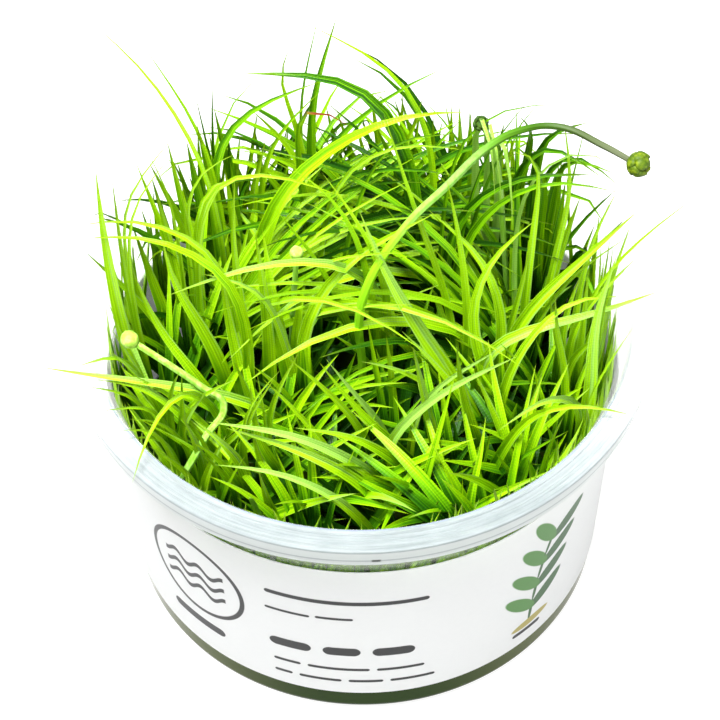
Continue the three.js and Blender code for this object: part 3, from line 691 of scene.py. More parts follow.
    [DEEP, 2.4, [21, -29], [13, -28, 36], [4, -23, 43], [-5, -17, 46]],
    [MID, 2.2, [20, -28], [12, -27, 35], [2, -25, 41], [-7, -21, 45]],
    [DEEP, 2.2, [22, -29], [15, -26, 38], [9, -17, 45], [5, -10, 47]],
    [LIME, 1.7, [21, -27], [15, -25, 37], [11, -16, 46], [9, -9, 50]],
    [MID, 1.8, [22, -27], [17, -27, 37], [19, -22, 46], [20, -17, 50]],
    [LIT, 1.4, [23, -29], [16, -27, 36], [16, -25, 44]],
    [MID, 2.0, [27, -18], [25, -18, 36], [22, -8, 48], [21, -3, 53]],
    [LIT, 2.0, [29, -18], [26, -17, 36], [28, -12, 46], [30, -8, 49]],
    [LIME, 1.6, [31, -16], [32, -17, 32], [34, -15, 40]],
    [DEEP, 1.7, [-9, -6], [-9, -4, 40], [-10, 0, 52]],
    [MID, 1.5, [3, -8], [3, -6, 42], [1, -3, 58]],
]
print("listed leaves", len(LISTED_LEAVES))

# %% [markdown]
# ## From a list to leaves
# A leaf starts just outside the middle of its crown, on the side that it heads for. Leaves are painted
# brighter towards the sides of the cup, as painted light, so their tone is raised there. A small random
# twist keeps neighbours from catching the light alike, and the draws start from a fixed number, so that
# every run gives the same plant.

# %% Rooting, tones and the listed leaves
# Painted light: leaves are made brighter towards the left and right sides.
LEFT_PAINTED_LIGHT, RIGHT_PAINTED_LIGHT, BRIGHTEST = 0.7, 0.4, 0.64
LEFT_SPAN, RIGHT_SPAN, BACK_SPAN = (0, 34), (8, 34), (6, 22)  # mm over which the lift comes or goes
LISTED_RINGS, LISTED_TWIST = 16, 0.5
LISTED_WIDENING = 1.12  # a blade narrows to both ends, so it looks thinner than its widest part


def nearest_crown(root):
    return min(range(len(CROWNS)), key=lambda crown: math.dist(CROWNS[crown], root))


def rooted(crown, points):
    """The points of a leaf, after its start inside the crown."""
    x, y = CROWNS[crown]
    heading = math.atan2(points[0][1] - y, points[0][0] - x)
    start = (x + LEAF_OFFSET * math.cos(heading), y + LEAF_OFFSET * math.sin(heading), LEAF_START)
    return [start, *points]


def eased(value, low, high):
    share = min(1, max(0, (value - low) / (high - low)))
    return share * share * (3 - 2 * share)


def lifted(tone, x, y):
    """A leaf's tone, raised as painted light towards the sides, though not at the back."""
    sides = LEFT_PAINTED_LIGHT * eased(-x, *LEFT_SPAN) + RIGHT_PAINTED_LIGHT * eased(x, *RIGHT_SPAN)
    return max(tone, min(tone + sides * (1 - eased(y, *BACK_SPAN)), BRIGHTEST))


draw = random.Random(11)
blades = [[] for _ in CROWNS]
for tone, width, root, *points in LISTED_LEAVES:
    crown = nearest_crown(root)
    blades[crown].append(leaf_blade(rooted(crown, points), LISTED_WIDENING * width,
                                    lifted(tone, *root), LISTED_RINGS,
                                    draw.uniform(-LISTED_TWIST, LISTED_TWIST)))
print("most listed leaves on one crown:", max(len(tuft) for tuft in blades))

# %% [markdown]
# ## Leaves along the wall
# Leaves stand upright against the wall all round, where the plants have run out of room.
# They are taller towards the back. Each belongs to the crown that is nearest to it in the
# outer ring.

# %% Wall leaves
WALL_LEAVES = 300
FILLING_RINGS = 10
WALL_LEAF_LOW, WALL_LEAF_FRONT, WALL_LEAF_RISE = 49, 58, 10  # lowest and highest tips, in mm
RISE_SPAN = (-0.3, 0.5)  # how far a place is to the back, as a share, while the tips rise
WALL_LEAF_GAP = 0.7
WALL_LEAF_SHARES = (0.35, 0.7, 1)  # of its height, where its path is given a point
WALL_LEAF_WIDTH, WALL_LEAF_TONES = (1.4, 2.8, 2.1), (0.2, 0.8, 0.55)  # least, most, likeliest
WALL_LEAF_SWAY, WALL_LEAF_TWIST = 0.3, 0.2
OUTER_CROWNS = 34  # how far out the outer ring of crowns is


def wall_leaf():
    """A leaf that stands along the wall, and the crown that it grows from."""
    angle = draw.uniform(-math.pi, math.pi)
    sway = draw.uniform(-WALL_LEAF_SWAY, WALL_LEAF_SWAY)
    highest = WALL_LEAF_FRONT + WALL_LEAF_RISE * eased(math.sin(angle), *RISE_SPAN)
    top = draw.uniform(WALL_LEAF_LOW, highest)
    points = []
    for share in WALL_LEAF_SHARES:
        z = GEL_TOP + (top - GEL_TOP) * share
        turn = angle + sway * share
        out = wall_radius(min(z, NECK_HEIGHT)) - WALL - WALL_LEAF_GAP
        points.append((out * math.cos(turn), out * math.sin(turn), z))
    crown = nearest_crown((OUTER_CROWNS * math.cos(angle), OUTER_CROWNS * math.sin(angle)))
    tone = lifted(draw.triangular(*WALL_LEAF_TONES), *points[-1][:2])
    width = draw.triangular(*WALL_LEAF_WIDTH)
    inward = Vector((-math.cos(angle), -math.sin(angle), 0.2))
    return crown, leaf_blade(rooted(crown, points), width, tone, FILLING_RINGS,
                             draw.uniform(-WALL_LEAF_TWIST, WALL_LEAF_TWIST), inward)


for _ in range(WALL_LEAVES):
    crown, blade = wall_leaf()
    blades[crown].append(blade)
print("leaves along the wall", WALL_LEAVES)

# %% [markdown]
# ## Room for a leaf
# Below the rim a leaf has to stay inside the wall, and above it the thicket spreads a little,
# less at the front than at the back. A path that would pass through is held inside, as the
# real leaf slides up along the plastic.

# %% Bowed path
WALL_CLEARANCE = 1.2
BACK_REACH, FRONT_REACH = 45.5, 41  # how far out leaves may be above the rim, in mm
FRONT_SPAN = (0.15, 0.55)  # how far a place is to the front, as a share of its distance
RIM_SPAN = (CUP_HEIGHT - 3, CUP_HEIGHT + 8)  # heights over which the limit widens
STEPS = 8
SWAY = 0.5
BOW_POWER = 1.4  # above 1, so that a leaf bends more towards its tip


def reach_limit(x, y, z):
    """How far from the axis a leaf may be at this point, in mm."""
    inside_wall = wall_radius(min(z, NECK_HEIGHT)) - WALL - WALL_CLEARANCE
    frontness = eased(-y / max(1, math.hypot(x, y)), *FRONT_SPAN)
    above = BACK_REACH + (FRONT_REACH - BACK_REACH) * frontness
    return inside_wall + (above - inside_wall) * eased(z, *RIM_SPAN)


def bowed_path(crown, length, lean, bow, headings):
    """How far in all a leaf's points had to be moved, its heading, and the points."""
    x, y = CROWNS[crown]
    heading, sway = draw.uniform(*headings), draw.uniform(-SWAY, SWAY)
    z, moved, points = LEAF_START, 0, []
    for step in range(1, STEPS + 1):
        angle = lean + bow * (step / STEPS) ** BOW_POWER
        turn = heading + sway * step / STEPS
        x += length / STEPS * math.sin(angle) * math.cos(turn)
        y += length / STEPS * math.sin(angle) * math.sin(turn)
        z += length / STEPS * math.cos(angle)
        scale = min(1, reach_limit(x, y, z) / max(1, math.hypot(x, y)))
        moved += (1 - scale) * math.hypot(x, y)
        points.append((x * scale, y * scale, z))
    return moved, heading, points


print("room in mm at the gel, and above the rim at the front and back:",
      [round(reach_limit(*place), 1) for place in ((0, 1, GEL_TOP), (0, -1, 70), (0, 1, 70))])

# %% [markdown]
# ## The rest of the thicket
# Every crown also grows a tuft of leaves that nobody could tell apart. Each leaves its crown
# at a lean from upright and bows over more and more towards its tip, as a strap held at one
# end does, so that a tuft is a rosette with a dark middle. Crowns at the back grow longer and
# thinner leaves as well, which arch over each other above the rim. A leaf's path is drawn
# three times, a low leaf's a little straighter each time, and the one that is least in the
# way of the wall is kept.

# %% Filling leaves
LOW_TUFT, TALL_TUFT = 15, 25  # leaves to a crown
# Widths and tones give the least, the most and the likeliest, tries how far each path is bent.
LOW_LEAF = dict(length=(22, 41), lean=(0.05, 0.95), bow=(0.05, 0.5), droop=0.4,
                width=(1.3, 2.7, 1.8), headings=(-math.pi, math.pi),
                tones=(0.0, 0.9, 0.4), tries=(1, 0.75, 0.5))
TALL_LEAF = dict(length=(44, 80), lean=(0.02, 0.4), bow=(0.15, 1.1), droop=1.2,
                 width=(0.9, 2.4, 1.4), headings=(-0.4, math.pi + 0.4),
                 tones=(-0.35, 0.72, -0.02), tries=(1, 1, 1))
TALL_DEPTH, TALL_RADIUS = 8, 24  # crowns this far back and out have tall leaves too, in mm
GROWTH_TONE, MEAN_GROWTH = 0.2, 0.4  # longer leaves are a little brighter
FACE_TURN, FILLING_TWIST = 0.8, 0.7


def filling_leaf(crown, length, lean, bow, droop, width, headings, tones, tries):
    growth = draw.uniform(0, 1)
    long = length[0] + (length[1] - length[0]) * growth
    leaned = draw.uniform(*lean)
    bowed = draw.uniform(*bow) + droop * growth
    paths = [bowed_path(crown, long, leaned * ease, bowed * ease, headings) for ease in tries]
    _, heading, points = min(paths, key=lambda path: path[0])
    tone = draw.triangular(*tones) + GROWTH_TONE * (growth - MEAN_GROWTH)
    facing = FACE + Vector((-math.cos(heading), -math.sin(heading), 0)) * FACE_TURN
    return leaf_blade(rooted(crown, points), draw.triangular(*width),
                      lifted(tone, *CROWNS[crown]), FILLING_RINGS,
                      draw.uniform(-FILLING_TWIST, FILLING_TWIST), facing)


for crown, (across, depth) in enumerate(CROWNS):
    blades[crown] += [filling_leaf(crown, **LOW_LEAF) for _ in range(LOW_TUFT)]
    if depth > TALL_DEPTH and math.hypot(across, depth) > TALL_RADIUS:
        blades[crown] += [filling_leaf(crown, **TALL_LEAF) for _ in range(TALL_TUFT)]
plantlets = [mesh_of_blades(f"leaves_{crown + 1:02d}", tuft) for crown, tuft in enumerate(blades)]
print("plantlets", len(plantlets), "leaves", sum(len(tuft) for tuft in blades),
      "faces", sum(len(piece.data.polygons) for piece in plantlets))

# %% [markdown]
# ## Flower stalks
# A stalk is a fine ribbed tube that thins towards its head. A bezier curve is laid through
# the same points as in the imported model, a small ribbed outline is swept along it, and the
# result is turned into a mesh.

# %% Stalks
RIBS, CORNERS_PER_RIB = 6, 4
RIB_DEPTH = 0.09
STALK_STEPS, STALK_SMOOTHING = 8, 60

FLOWERS = {
    "long": dict(
        path=[[1, 3, 18.4], [0, 2, 40], [1, 1, 62], [8, 6, 72], [14, 9, 77], [21, 12.5, 82.5],
              [26, 13, 85.5], [32, 11.5, 87.5], [38.8, 8, 86.5], [42.8, 6.4, 84.9]],
        thick=0.78, thin=0.46, twist=2.5),
    "left": dict(
        path=[[-33, -15, 18.4], [-32, -19, 34], [-29.2, -22, 43.5], [-25.8, -18.5, 48],
              [-22.8, -14.5, 51.2], [-26, -13, 53.8], [-31.2, -11.5, 58], [-36.2, -10, 61.6]],
        thick=0.6, thin=0.54, twist=1),
    "middle": dict(
        path=[[-13, 7, 18.4], [-12, 7, 44], [-10.5, 5, 65.5]],
        thick=0.55, thin=0.45, twist=1),
    "back": dict(
        path=[[27, 17, 18.4], [25, 20, 52], [22, 20, 76], [20.3, 19.3, 80.5]],
        thick=0.5, thin=0.4, twist=1),
}


def ribbed_outline():
    outline = bpy.data.curves.new("ribbed_outline", "CURVE")
    outline.dimensions = "2D"
    line = outline.splines.new("POLY")
    line.use_cyclic_u = True
    corners = CORNERS_PER_RIB * RIBS
    line.points.add(corners - 1)
    for corner, point in enumerate(line.points):
        angle = 2 * math.pi * corner / corners
        radius = 1 + RIB_DEPTH * math.cos(RIBS * angle)
        point.co = (radius * MM * math.cos(angle), radius * MM * math.sin(angle), 0, 1)
    piece = bpy.data.objects.new("ribbed_outline", outline)
    bpy.context.collection.objects.link(piece)
    return piece


def stalk_along(name, path, thick, thin, twist, outline):
    curve = bpy.data.curves.new(name, "CURVE")
    curve.dimensions = "3D"
    curve.resolution_u = STALK_STEPS
    curve.bevel_mode = "OBJECT"
    curve.bevel_object = outline
    curve.use_fill_caps = True
    line = curve.splines.new("BEZIER")
    line.bezier_points.add(len(path) - 1)
    for step, (point, place) in enumerate(zip(line.bezier_points, path)):
        share = step / (len(path) - 1)
        point.co = Vector(place) * MM
        point.handle_left_type = point.handle_right_type = "AUTO"
        point.radius = thick + (thin - thick) * share
        point.tilt = twist * share
    piece = bpy.data.objects.new(name, curve)
    bpy.context.collection.objects.link(piece)
    choose(piece)
    bpy.ops.object.convert(target="MESH")
    bpy.ops.object.mode_set(mode="EDIT")
    bpy.ops.mesh.select_all(action="SELECT")
    bpy.ops.mesh.remove_doubles(threshold=0.001 * MM)
    bpy.ops.mesh.normals_make_consistent(inside=False)
    bpy.ops.object.mode_set(mode="OBJECT")
    smooth_by_angle(piece, STALK_SMOOTHING)
    return piece


outline = ribbed_outline()
stalks = {name: stalk_along(f"stalk_{name}", outline=outline, **facts)
          for name, facts in FLOWERS.items()}
bpy.data.objects.remove(outline)
for stalk in stalks.values():
    say(stalk)

# %% [markdown]
# ## One bract
# A pipewort's head is a small button of many packed bracts. A bract is a pointed scale,
# shaped once from a ball: pressed flat, narrowed towards its tip and curled up a little.

# %% Bract
BRACT_FLATNESS, BRACT_NARROWING, BRACT_CURL = 0.55, 0.45, 0.25


def ball(name, subdivisions):
    deselect()
    bpy.ops.mesh.primitive_ico_sphere_add(subdivisions=subdivisions, radius=MM)
    piece = bpy.context.active_object
    piece.name = piece.data.name = name
    return piece


bract_piece = ball("bract", 2)
for corner in bract_piece.data.vertices:
    forward = max(0, corner.co.x / MM)
    corner.co.y *= 1 - BRACT_NARROWING * forward ** 2
    corner.co.z = corner.co.z * BRACT_FLATNESS + BRACT_CURL * forward ** 2 * MM
say(bract_piece)

# %% [markdown]
# ## Flower heads
# The bract is copied over a ball by the golden angle, so that the rows cross as they do in
# nature. On the old heads the bracts stand out like lumps, and on the young ones they lie
# flat on a fuller ball and make a smooth bud.

# %% Heads
GOLDEN_ANGLE = math.radians(137.5)
HEADS = {
    # half its width and height, number and size of bracts, how far out they sit, share of the ball
    "long": dict(across=1.8, along=1.6, bracts=14, bract=1.05, lift=0.84, core=0.8),
    "left": dict(across=1.6, along=1.7, bracts=16, bract=0.8, lift=0.62, core=0.9),
    "middle": dict(across=1.3, along=1.2, bracts=16, bract=0.62, lift=0.64, core=0.9),
    "back": dict(across=1.1, along=0.9, bracts=14, bract=0.58, lift=0.95, core=0.8),
}
HEAD_SINK = 0.2  # how far the head is set back over the end of its stalk
HEAD_SMOOTHING = 60
BRACT_SIZES = (0.85, 1.12)
UPWARDS, SIDEWAYS = Vector((0, 0, 1)), Vector((1, 0, 0))


def bract_on_head(index, across, along, bracts, bract, lift):
    """A copy of the bract, turned outwards and with its tip towards the top of the ball."""
    height = 1 - 2 * (index + 0.5) / bracts
    turn = GOLDEN_ANGLE * index
    ring = math.sqrt(1 - height * height)
    outward = Vector((ring * math.cos(turn), ring * math.sin(turn), height))
    tip = UPWARDS - outward * height
    tip = tip.normalized() if tip.length > 0.01 else SIDEWAYS
    axes = Matrix((tip, outward.cross(tip), outward)).transposed()
    size = bract * draw.uniform(*BRACT_SIZES)
    place = Vector((outward.x * across, outward.y * across, outward.z * along)) * lift
    scale = bract_piece.copy()
    scale.data = bract_piece.data.copy()
    scale.data.transform(Matrix.Translation(place * MM) @ axes.to_4x4() @ Matrix.Scale(size, 4))
    bpy.context.collection.objects.link(scale)
    return scale


def flower_head(name, across, along, bracts, bract, lift, core):
    path, _ = smooth_path(FLOWERS[name]["path"], 40)
    direction = Vector(path[-1] - path[-2]).normalized()
    centre = Vector(path[-1]) + direction * (along - HEAD_SINK)
    head = ball(f"head_{name}", 3)
    for corner in head.data.vertices:
        corner.co = Matrix.Diagonal((across, across, along)) @ corner.co * core
    scales = [bract_on_head(index, across, along, bracts, bract, lift) for index in range(bracts)]
    choose(head)
    for scale in scales:
        scale.select_set(True)
    bpy.ops.object.join()
    aim = UPWARDS.rotation_difference(direction).to_matrix().to_4x4()
    head.data.transform(Matrix.Translation(centre * MM) @ aim)
    smooth_by_angle(head, HEAD_SMOOTHING)
    return head


heads = {name: flower_head(name, **facts) for name, facts in HEADS.items()}
bpy.data.objects.remove(bract_piece)
for head in heads.values():
    say(head)

# %% [markdown]
# ## Helpers for materials
# Every finish is a small tree of nodes round one Principled shader. The helper keeps the
# tree short to write: each call adds one node and gives back its output.

# %% Finish helper
class Finish:
    def __init__(self, name):
        self.material = bpy.data.materials.new(name)
        self.material.use_nodes = True
        self.tree = self.material.node_tree
        self.shader = self.tree.nodes["Principled BSDF"]

    def put(self, socket, value):
        if isinstance(value, bpy.types.NodeSocket):
            self.tree.links.new(value, socket)
        elif socket.type == "RGBA":
            socket.default_value = (*value, 1)
        else:
            socket.default_value = value

    def set(self, **sockets):
        for name, value in sockets.items():
            self.put(self.shader.inputs[name.replace("_", " ")], value)

    def node(self, kind, inputs=(), output=0, **settings):
        node = self.tree.nodes.new(kind)
        for name, value in settings.items():
            setattr(node, name, value)
        for socket, value in dict(inputs).items():
            self.put(node.inputs[socket], value)
        return node.outputs[output]

    def place(self):
        """The piece's own coordinates, in metres."""
        return self.node("ShaderNodeTexCoord", output="Object")

    def value(self, name):
        """A value that the corners of the mesh carry."""
        return self.node("ShaderNodeAttribute", output="Fac", attribute_name=name)

    def parts(self, where):
        return self.node("ShaderNodeSeparateXYZ", {"Vector": where}).node.outputs

    def together(self, x=0.0, y=0.0, z=0.0):
        return self.node("ShaderNodeCombineXYZ", {"X": x, "Y": y, "Z": z})

    def math(self, operation, first, second=0.0):
        return self.node("ShaderNodeMath", {0: first, 1: second}, operation=operation)

    def times(self, first, *others):
        for other in others:
            first = self.math("MULTIPLY", first, other)
        return first

    def wave(self, value, pitch):
        return self.math("SINE", self.times(value, 2 * math.pi / pitch))

    def apart(self, value, middle):
        return self.math("ABSOLUTE", self.math("SUBTRACT", value, middle))

    def bearing(self, x, y):
        """The angle round the cup's axis, to the right of the front."""
        return self.math("ARCTAN2", x, self.times(y, -1))

    def vector(self, operation, first, second=(0, 0, 0)):
        return self.node("ShaderNodeVectorMath", {0: first, 1: second}, operation=operation)

    def length(self, vector):
        return self.node("ShaderNodeVectorMath", {0: vector}, "Value", operation="LENGTH")

    def noise(self, where, scale, detail=3.0):
        return self.node("ShaderNodeTexNoise", {"Vector": where, "Scale": scale, "Detail": detail,
                                                "Roughness": 0.55})

    def span(self, value, low, high, to_low=0.0, to_high=1.0, kind="SMOOTHSTEP"):
        """The value's way from low to high, as a way from to_low to to_high."""
        return self.node("ShaderNodeMapRange", {"Value": value, "From Min": low, "From Max": high,
                                                "To Min": to_low, "To Max": to_high},
                         interpolation_type=kind)

    def near(self, value, middle, half):
        """1 close to the middle value, and 0 further from it than half."""
        return self.span(self.apart(value, middle), half, half / 2)

    def mix(self, share, first, second):
        return self.node("ShaderNodeMix", {0: share, 6: first, 7: second}, 2, data_type="RGBA")

    def ramp(self, value, stops):
        """The colours of the stops, by the value."""
        node = self.tree.nodes.new("ShaderNodeValToRGB")
        self.put(node.inputs["Fac"], value)
        stops = sorted(stops.items())
        while len(node.color_ramp.elements) < len(stops):
            node.color_ramp.elements.new(0.5)
        for element, (place, colour) in zip(node.color_ramp.elements, stops):
            element.position = place
            element.color = (*colour, 1)
        return node.outputs["Color"]

    def bump(self, height, distance, strength):
        return self.node("ShaderNodeBump", {"Height": height, "Distance": distance,
                                            "Strength": strength})

    def let_light_through(self, share, colour):
        """Mixes in a Translucent shader, as a thin sheet or blade lets light through."""
        glow = self.node("ShaderNodeBsdfTranslucent", {"Color": colour})
        both = self.node("ShaderNodeMixShader", {0: share, 1: self.shader.outputs[0], 2: glow})
        self.put(self.tree.nodes["Material Output"].inputs["Surface"], both)


def dress(piece, finish):
    piece.data.materials.clear()
    piece.data.materials.append(finish.material)


# %% [markdown]
# ## A leaf's green
# A leaf's green runs from dark bottle green to bright lime, and each leaf has its own tone, which a ramp
# turns into a colour. Long streaks make the tone wander across the blade. One half of the fold is painted
# a little darker than the other, as painted light and shade, the edges are paler with a painted highlight,
# and the midrib is paler too. The tone sinks towards the gel, where little light comes down between the
# leaves.

# %% Leaf tone
STREAK_WIDTH, STREAK_SHIFT, STREAK_LENGTH = 3.2, 91, 0.05  # scales across, from leaf to leaf, along
STREAK = 0.22  # how far a leaf's tone wanders
# Painted light and shade on the two halves of the fold, and a painted highlight on the edges:
PAINTED_SHADE_HALF, PAINTED_LIGHT_HALF = -0.09, 0.06
PAINTED_EDGE_HIGHLIGHT, PALER_MIDRIB = 0.14, 0.12
DEEP_HEIGHT, OPEN_HEIGHT = 25 * MM, 50 * MM  # where the thicket is darkest and where it opens
DEEP_TONE, OPEN_TONE = -0.95, 0.13
WITHERED_TONES = (-0.4, -0.6)  # between them a tone turns from a green leaf's to a withered one's
WITHERED_LIFT = 1.3  # brings a withered leaf's tone back to green, as only its tip is brown
LEAF_GREENS = {
    0.0: (0.006, 0.05, 0.001), 0.2: (0.055, 0.22, 0.002), 0.4: (0.19, 0.48, 0.002),
    # 1.0 is the whitish green of PALE, a painted highlight
    0.6: (0.35, 0.67, 0.003), 0.8: (0.45, 0.8, 0.004), 1.0: (0.38, 0.68, 0.1),
}

leaf = Finish("leaf")
tone, side, run, share = [leaf.value(name) for name in LEAF_VALUES]
streak_place = leaf.together(leaf.math("ADD", leaf.times(side, STREAK_WIDTH),
                                       leaf.times(tone, STREAK_SHIFT)),
                             leaf.times(run, STREAK_LENGTH))
streaks = leaf.span(leaf.noise(streak_place, 1.0), 0.3, 0.7, -STREAK, STREAK, kind="LINEAR")
# Painted shade on one half of the fold and painted light on the other, and a painted highlight along the
# edges.
painted_fold_light = leaf.span(side, -0.15, 0.15, PAINTED_SHADE_HALF, PAINTED_LIGHT_HALF)
edges = leaf.span(leaf.math("ABSOLUTE", side), 0.7, 1, 0, PAINTED_EDGE_HIGHLIGHT)
midrib = leaf.span(leaf.math("ABSOLUTE", side), 0.16, 0, 0, PALER_MIDRIB)
height = leaf.parts(leaf.place())["Z"]
depth = leaf.span(height, DEEP_HEIGHT, OPEN_HEIGHT, DEEP_TONE, OPEN_TONE)
revived = leaf.span(tone, *WITHERED_TONES, 0, WITHERED_LIFT)
shown_tone = tone
for shift in (revived, streaks, painted_fold_light, edges, midrib, depth):
    shown_tone = leaf.math("ADD", shown_tone, shift)
green = leaf.ramp(shown_tone, LEAF_GREENS)
print("greens in the ramp", len(LEAF_GREENS))

# %% [markdown]
# ## Leaf finish
# The tip goes a little yellow and the base is pale. Fine veins run the length of the blade,
# with a faint ladder of cross bars between them. A withered leaf's tip is reddish brown. Part
# of the light goes through the thin blade.

# %% Leaf material
VEINS = 2.5  # pairs of veins from the midrib to the edge
LADDER_PITCH, LADDER_DEPTH = 0.55, 0.5  # mm between cross bars, and their depth beside a vein's
VEIN_RELIEF, VEIN_STRENGTH, VEIN_SHADE = 0.03 * MM, 0.8, 0.26
TIP_YELLOW, PALE_BASE, VEIN_GREEN = (0.45, 0.6, 0.01), (0.3, 0.45, 0.1), (0.04, 0.2, 0.0)
WITHERED_BROWN, WITHERED_RED = (0.28, 0.2, 0.02), (0.25, 0.03, 0.01)
GLOW, GLOW_GREEN = 0.2, (0.65, 0.95, 0.01)  # share of the light that passes, and its tint

tipped = leaf.mix(leaf.span(share, 0.88, 1, 0, 0.35), green, TIP_YELLOW)
based = leaf.mix(leaf.span(share, 0, 0.14, 0.25, 0), tipped, PALE_BASE)
relief = leaf.math("ADD", leaf.wave(side, 1 / VEINS),
                   leaf.times(leaf.wave(run, LADDER_PITCH), LADDER_DEPTH))
veined = leaf.mix(leaf.span(relief, -1.4, 1.4, 0, VEIN_SHADE), based, VEIN_GREEN)
brown = leaf.mix(leaf.span(share, 0.5, 1), WITHERED_BROWN, WITHERED_RED)
alive = leaf.math("MAXIMUM", leaf.span(tone, *reversed(WITHERED_TONES)), leaf.span(share, 0.9, 0.84))
leaf_colour = leaf.mix(alive, brown, veined)
leaf.set(Base_Color=leaf_colour, Roughness=0.3, Specular_IOR_Level=0.25,
         Normal=leaf.bump(relief, VEIN_RELIEF, VEIN_STRENGTH))
leaf.let_light_through(GLOW, leaf.mix(0.35, leaf_colour, GLOW_GREEN))
for piece in plantlets:
    dress(piece, leaf)
print("leaf finish on", len(plantlets), "plantlets")

# %% [markdown]
# ## The frosted rim
# The cup is moulded in a clear plastic, and only its rim is frosted: clearly at the front,
# with fine streaks and rings, and weakly towards the back. All of the marks on the cup are
# only colour, placed by the distance from its axis, the angle round it and the height.

# %% Rim frost
FROST_RADIUS, FROST_EDGE = 44.5 * MM, 0.3 * MM
FRONT_FROST, BACK_FROST = -38 * MM, 0  # places along y where the frost is full, and weakest
WEAKEST_FROST = 0.15
RING_PITCH = 0.45 * MM
STREAK_PLACE = (2600, 3.2, 1500)  # scales by radius, angle and height
STREAK_SHARE, SPECK_SHARE, SPECK_SCALE = 0.7, 0.3, 260
FROST_COLOURS = {0.3: (0.27, 0.31, 0.32), 0.5: (0.38, 0.42, 0.43), 0.7: (0.48, 0.52, 0.53)}
BACK_RIM = (0.95, 0.975, 0.985)

plastic = Finish("clear_plastic")
place = plastic.place()
x, y, z = plastic.parts(place)
radius = plastic.length(plastic.together(x, y))
angle = plastic.bearing(x, y)
ring_place = plastic.together(*[plastic.times(value, scale)
                                for value, scale in zip((radius, angle, z), STREAK_PLACE)])
streaks = plastic.math("ADD", plastic.times(plastic.noise(ring_place, 1.0, 4), STREAK_SHARE),
                       plastic.times(plastic.noise(place, SPECK_SCALE, 4), SPECK_SHARE))
rings = plastic.wave(radius, RING_PITCH)
frost = plastic.span(radius, FROST_RADIUS - FROST_EDGE, FROST_RADIUS + FROST_EDGE)
front = plastic.span(y, BACK_FROST, FRONT_FROST)
frosted = plastic.times(frost, plastic.span(front, 0, 1, WEAKEST_FROST, 1))
rim_colour = plastic.mix(front, BACK_RIM, plastic.ramp(streaks, FROST_COLOURS))
print("frost from radius", FROST_RADIUS / MM, "mm")

# %% [markdown]
# ## Lines on the rim and the skirt
# The rim's inner edge shows as a thin blue line. The skirt is painted paler than the flat, as painted
# light, with a painted shade line round it and a painted highlight just above its foot, and a small dark
# mould mark sits on it at the front. Each is laid over the ones before it, with a share of its colour.

# %% Rim and skirt lines
INNER_EDGE, INNER_EDGE_HALF = 44.65 * MM, 0.35 * MM
# The skirt's pale band and the line above its foot are painted light, and the shade line is painted shade.
SKIRT_PAINTED_LIGHT = (0.8, 0.83, 0.82)
SHADE_LINE, SHADE_HALF = 55.2 * MM, 0.28 * MM
FOOT_HIGHLIGHT, FOOT_HALF = 54.1 * MM, 0.5 * MM
MARK_ANGLE, MARK_HALF_WIDTH, MARK_HALF_HEIGHT = math.radians(1.8), math.radians(1.1), 0.45 * MM
FLAT_HEIGHTS = (56.6 * MM, 57 * MM)  # the rim's flat fades in between these
SKIRT_RADII, SKIRT_HEIGHTS = (47.9 * MM, 48.1 * MM), (57.7 * MM, 57.3 * MM)  # and the skirt here

on_flat = plastic.span(z, *FLAT_HEIGHTS)
skirt = plastic.times(plastic.span(radius, *SKIRT_RADII), plastic.span(z, *SKIRT_HEIGHTS))
mark = plastic.times(plastic.near(angle, MARK_ANGLE, MARK_HALF_WIDTH), skirt,
                     plastic.near(z, SHADE_LINE, MARK_HALF_HEIGHT))
RIM_LINES = [
    # where, share, colour
    (plastic.times(plastic.near(radius, INNER_EDGE, INNER_EDGE_HALF), on_flat), 0.8, (0.3, 0.36, 0.52)),
    # painted light on the skirt, painted shade on its line, and a painted highlight above its foot
    (skirt, 0.8, SKIRT_PAINTED_LIGHT),
    (plastic.times(skirt, plastic.near(z, SHADE_LINE, SHADE_HALF)), 0.5, (0.2, 0.23, 0.25)),
    (plastic.times(skirt, plastic.near(z, FOOT_HIGHLIGHT, FOOT_HALF)), 0.8, SKIRT_PAINTED_LIGHT),
    (mark, 1, (0.05, 0.06, 0.05)),
]
for where, strength, colour in RIM_LINES:
    rim_colour = plastic.mix(plastic.times(where, strength), rim_colour, colour)
print("lines and marks on the rim", len(RIM_LINES))

# %% [markdown]
# ## Clear plastic
# The side is clean: part of the light goes straight through, the rest by plain transmission.
# At the front the neck above the label is misted, and its olive tint is painted shade: the shaded leaves
# seen through it. Where the gel wets the wall, its olive shows right through, darker in the middle of the
# front than at the sides, where a painted reflection pales it.

# %% Cup material
NECK_HAZE, NECK_PLACE, NECK_HALF = 0.7, 49 * MM, 5 * MM
# The neck's olive is painted shade.
CLEAR, NECK_SHADE_OLIVE = (0.98, 0.99, 0.99), (0.5, 0.56, 0.42)
WET_HEIGHT, WET_EDGE = 18 * MM, 0.4 * MM
# The paler sides are a painted reflection.
WET_FRONT, WET_SIDES_REFLECTION = (0.012, 0.03, 0.0), (0.06, 0.075, 0.015)

neck = plastic.times(plastic.near(z, NECK_PLACE, NECK_HALF), front)
misty = plastic.math("MAXIMUM", frosted, plastic.times(neck, NECK_HAZE))
wet = plastic.span(z, WET_HEIGHT, WET_HEIGHT - WET_EDGE)
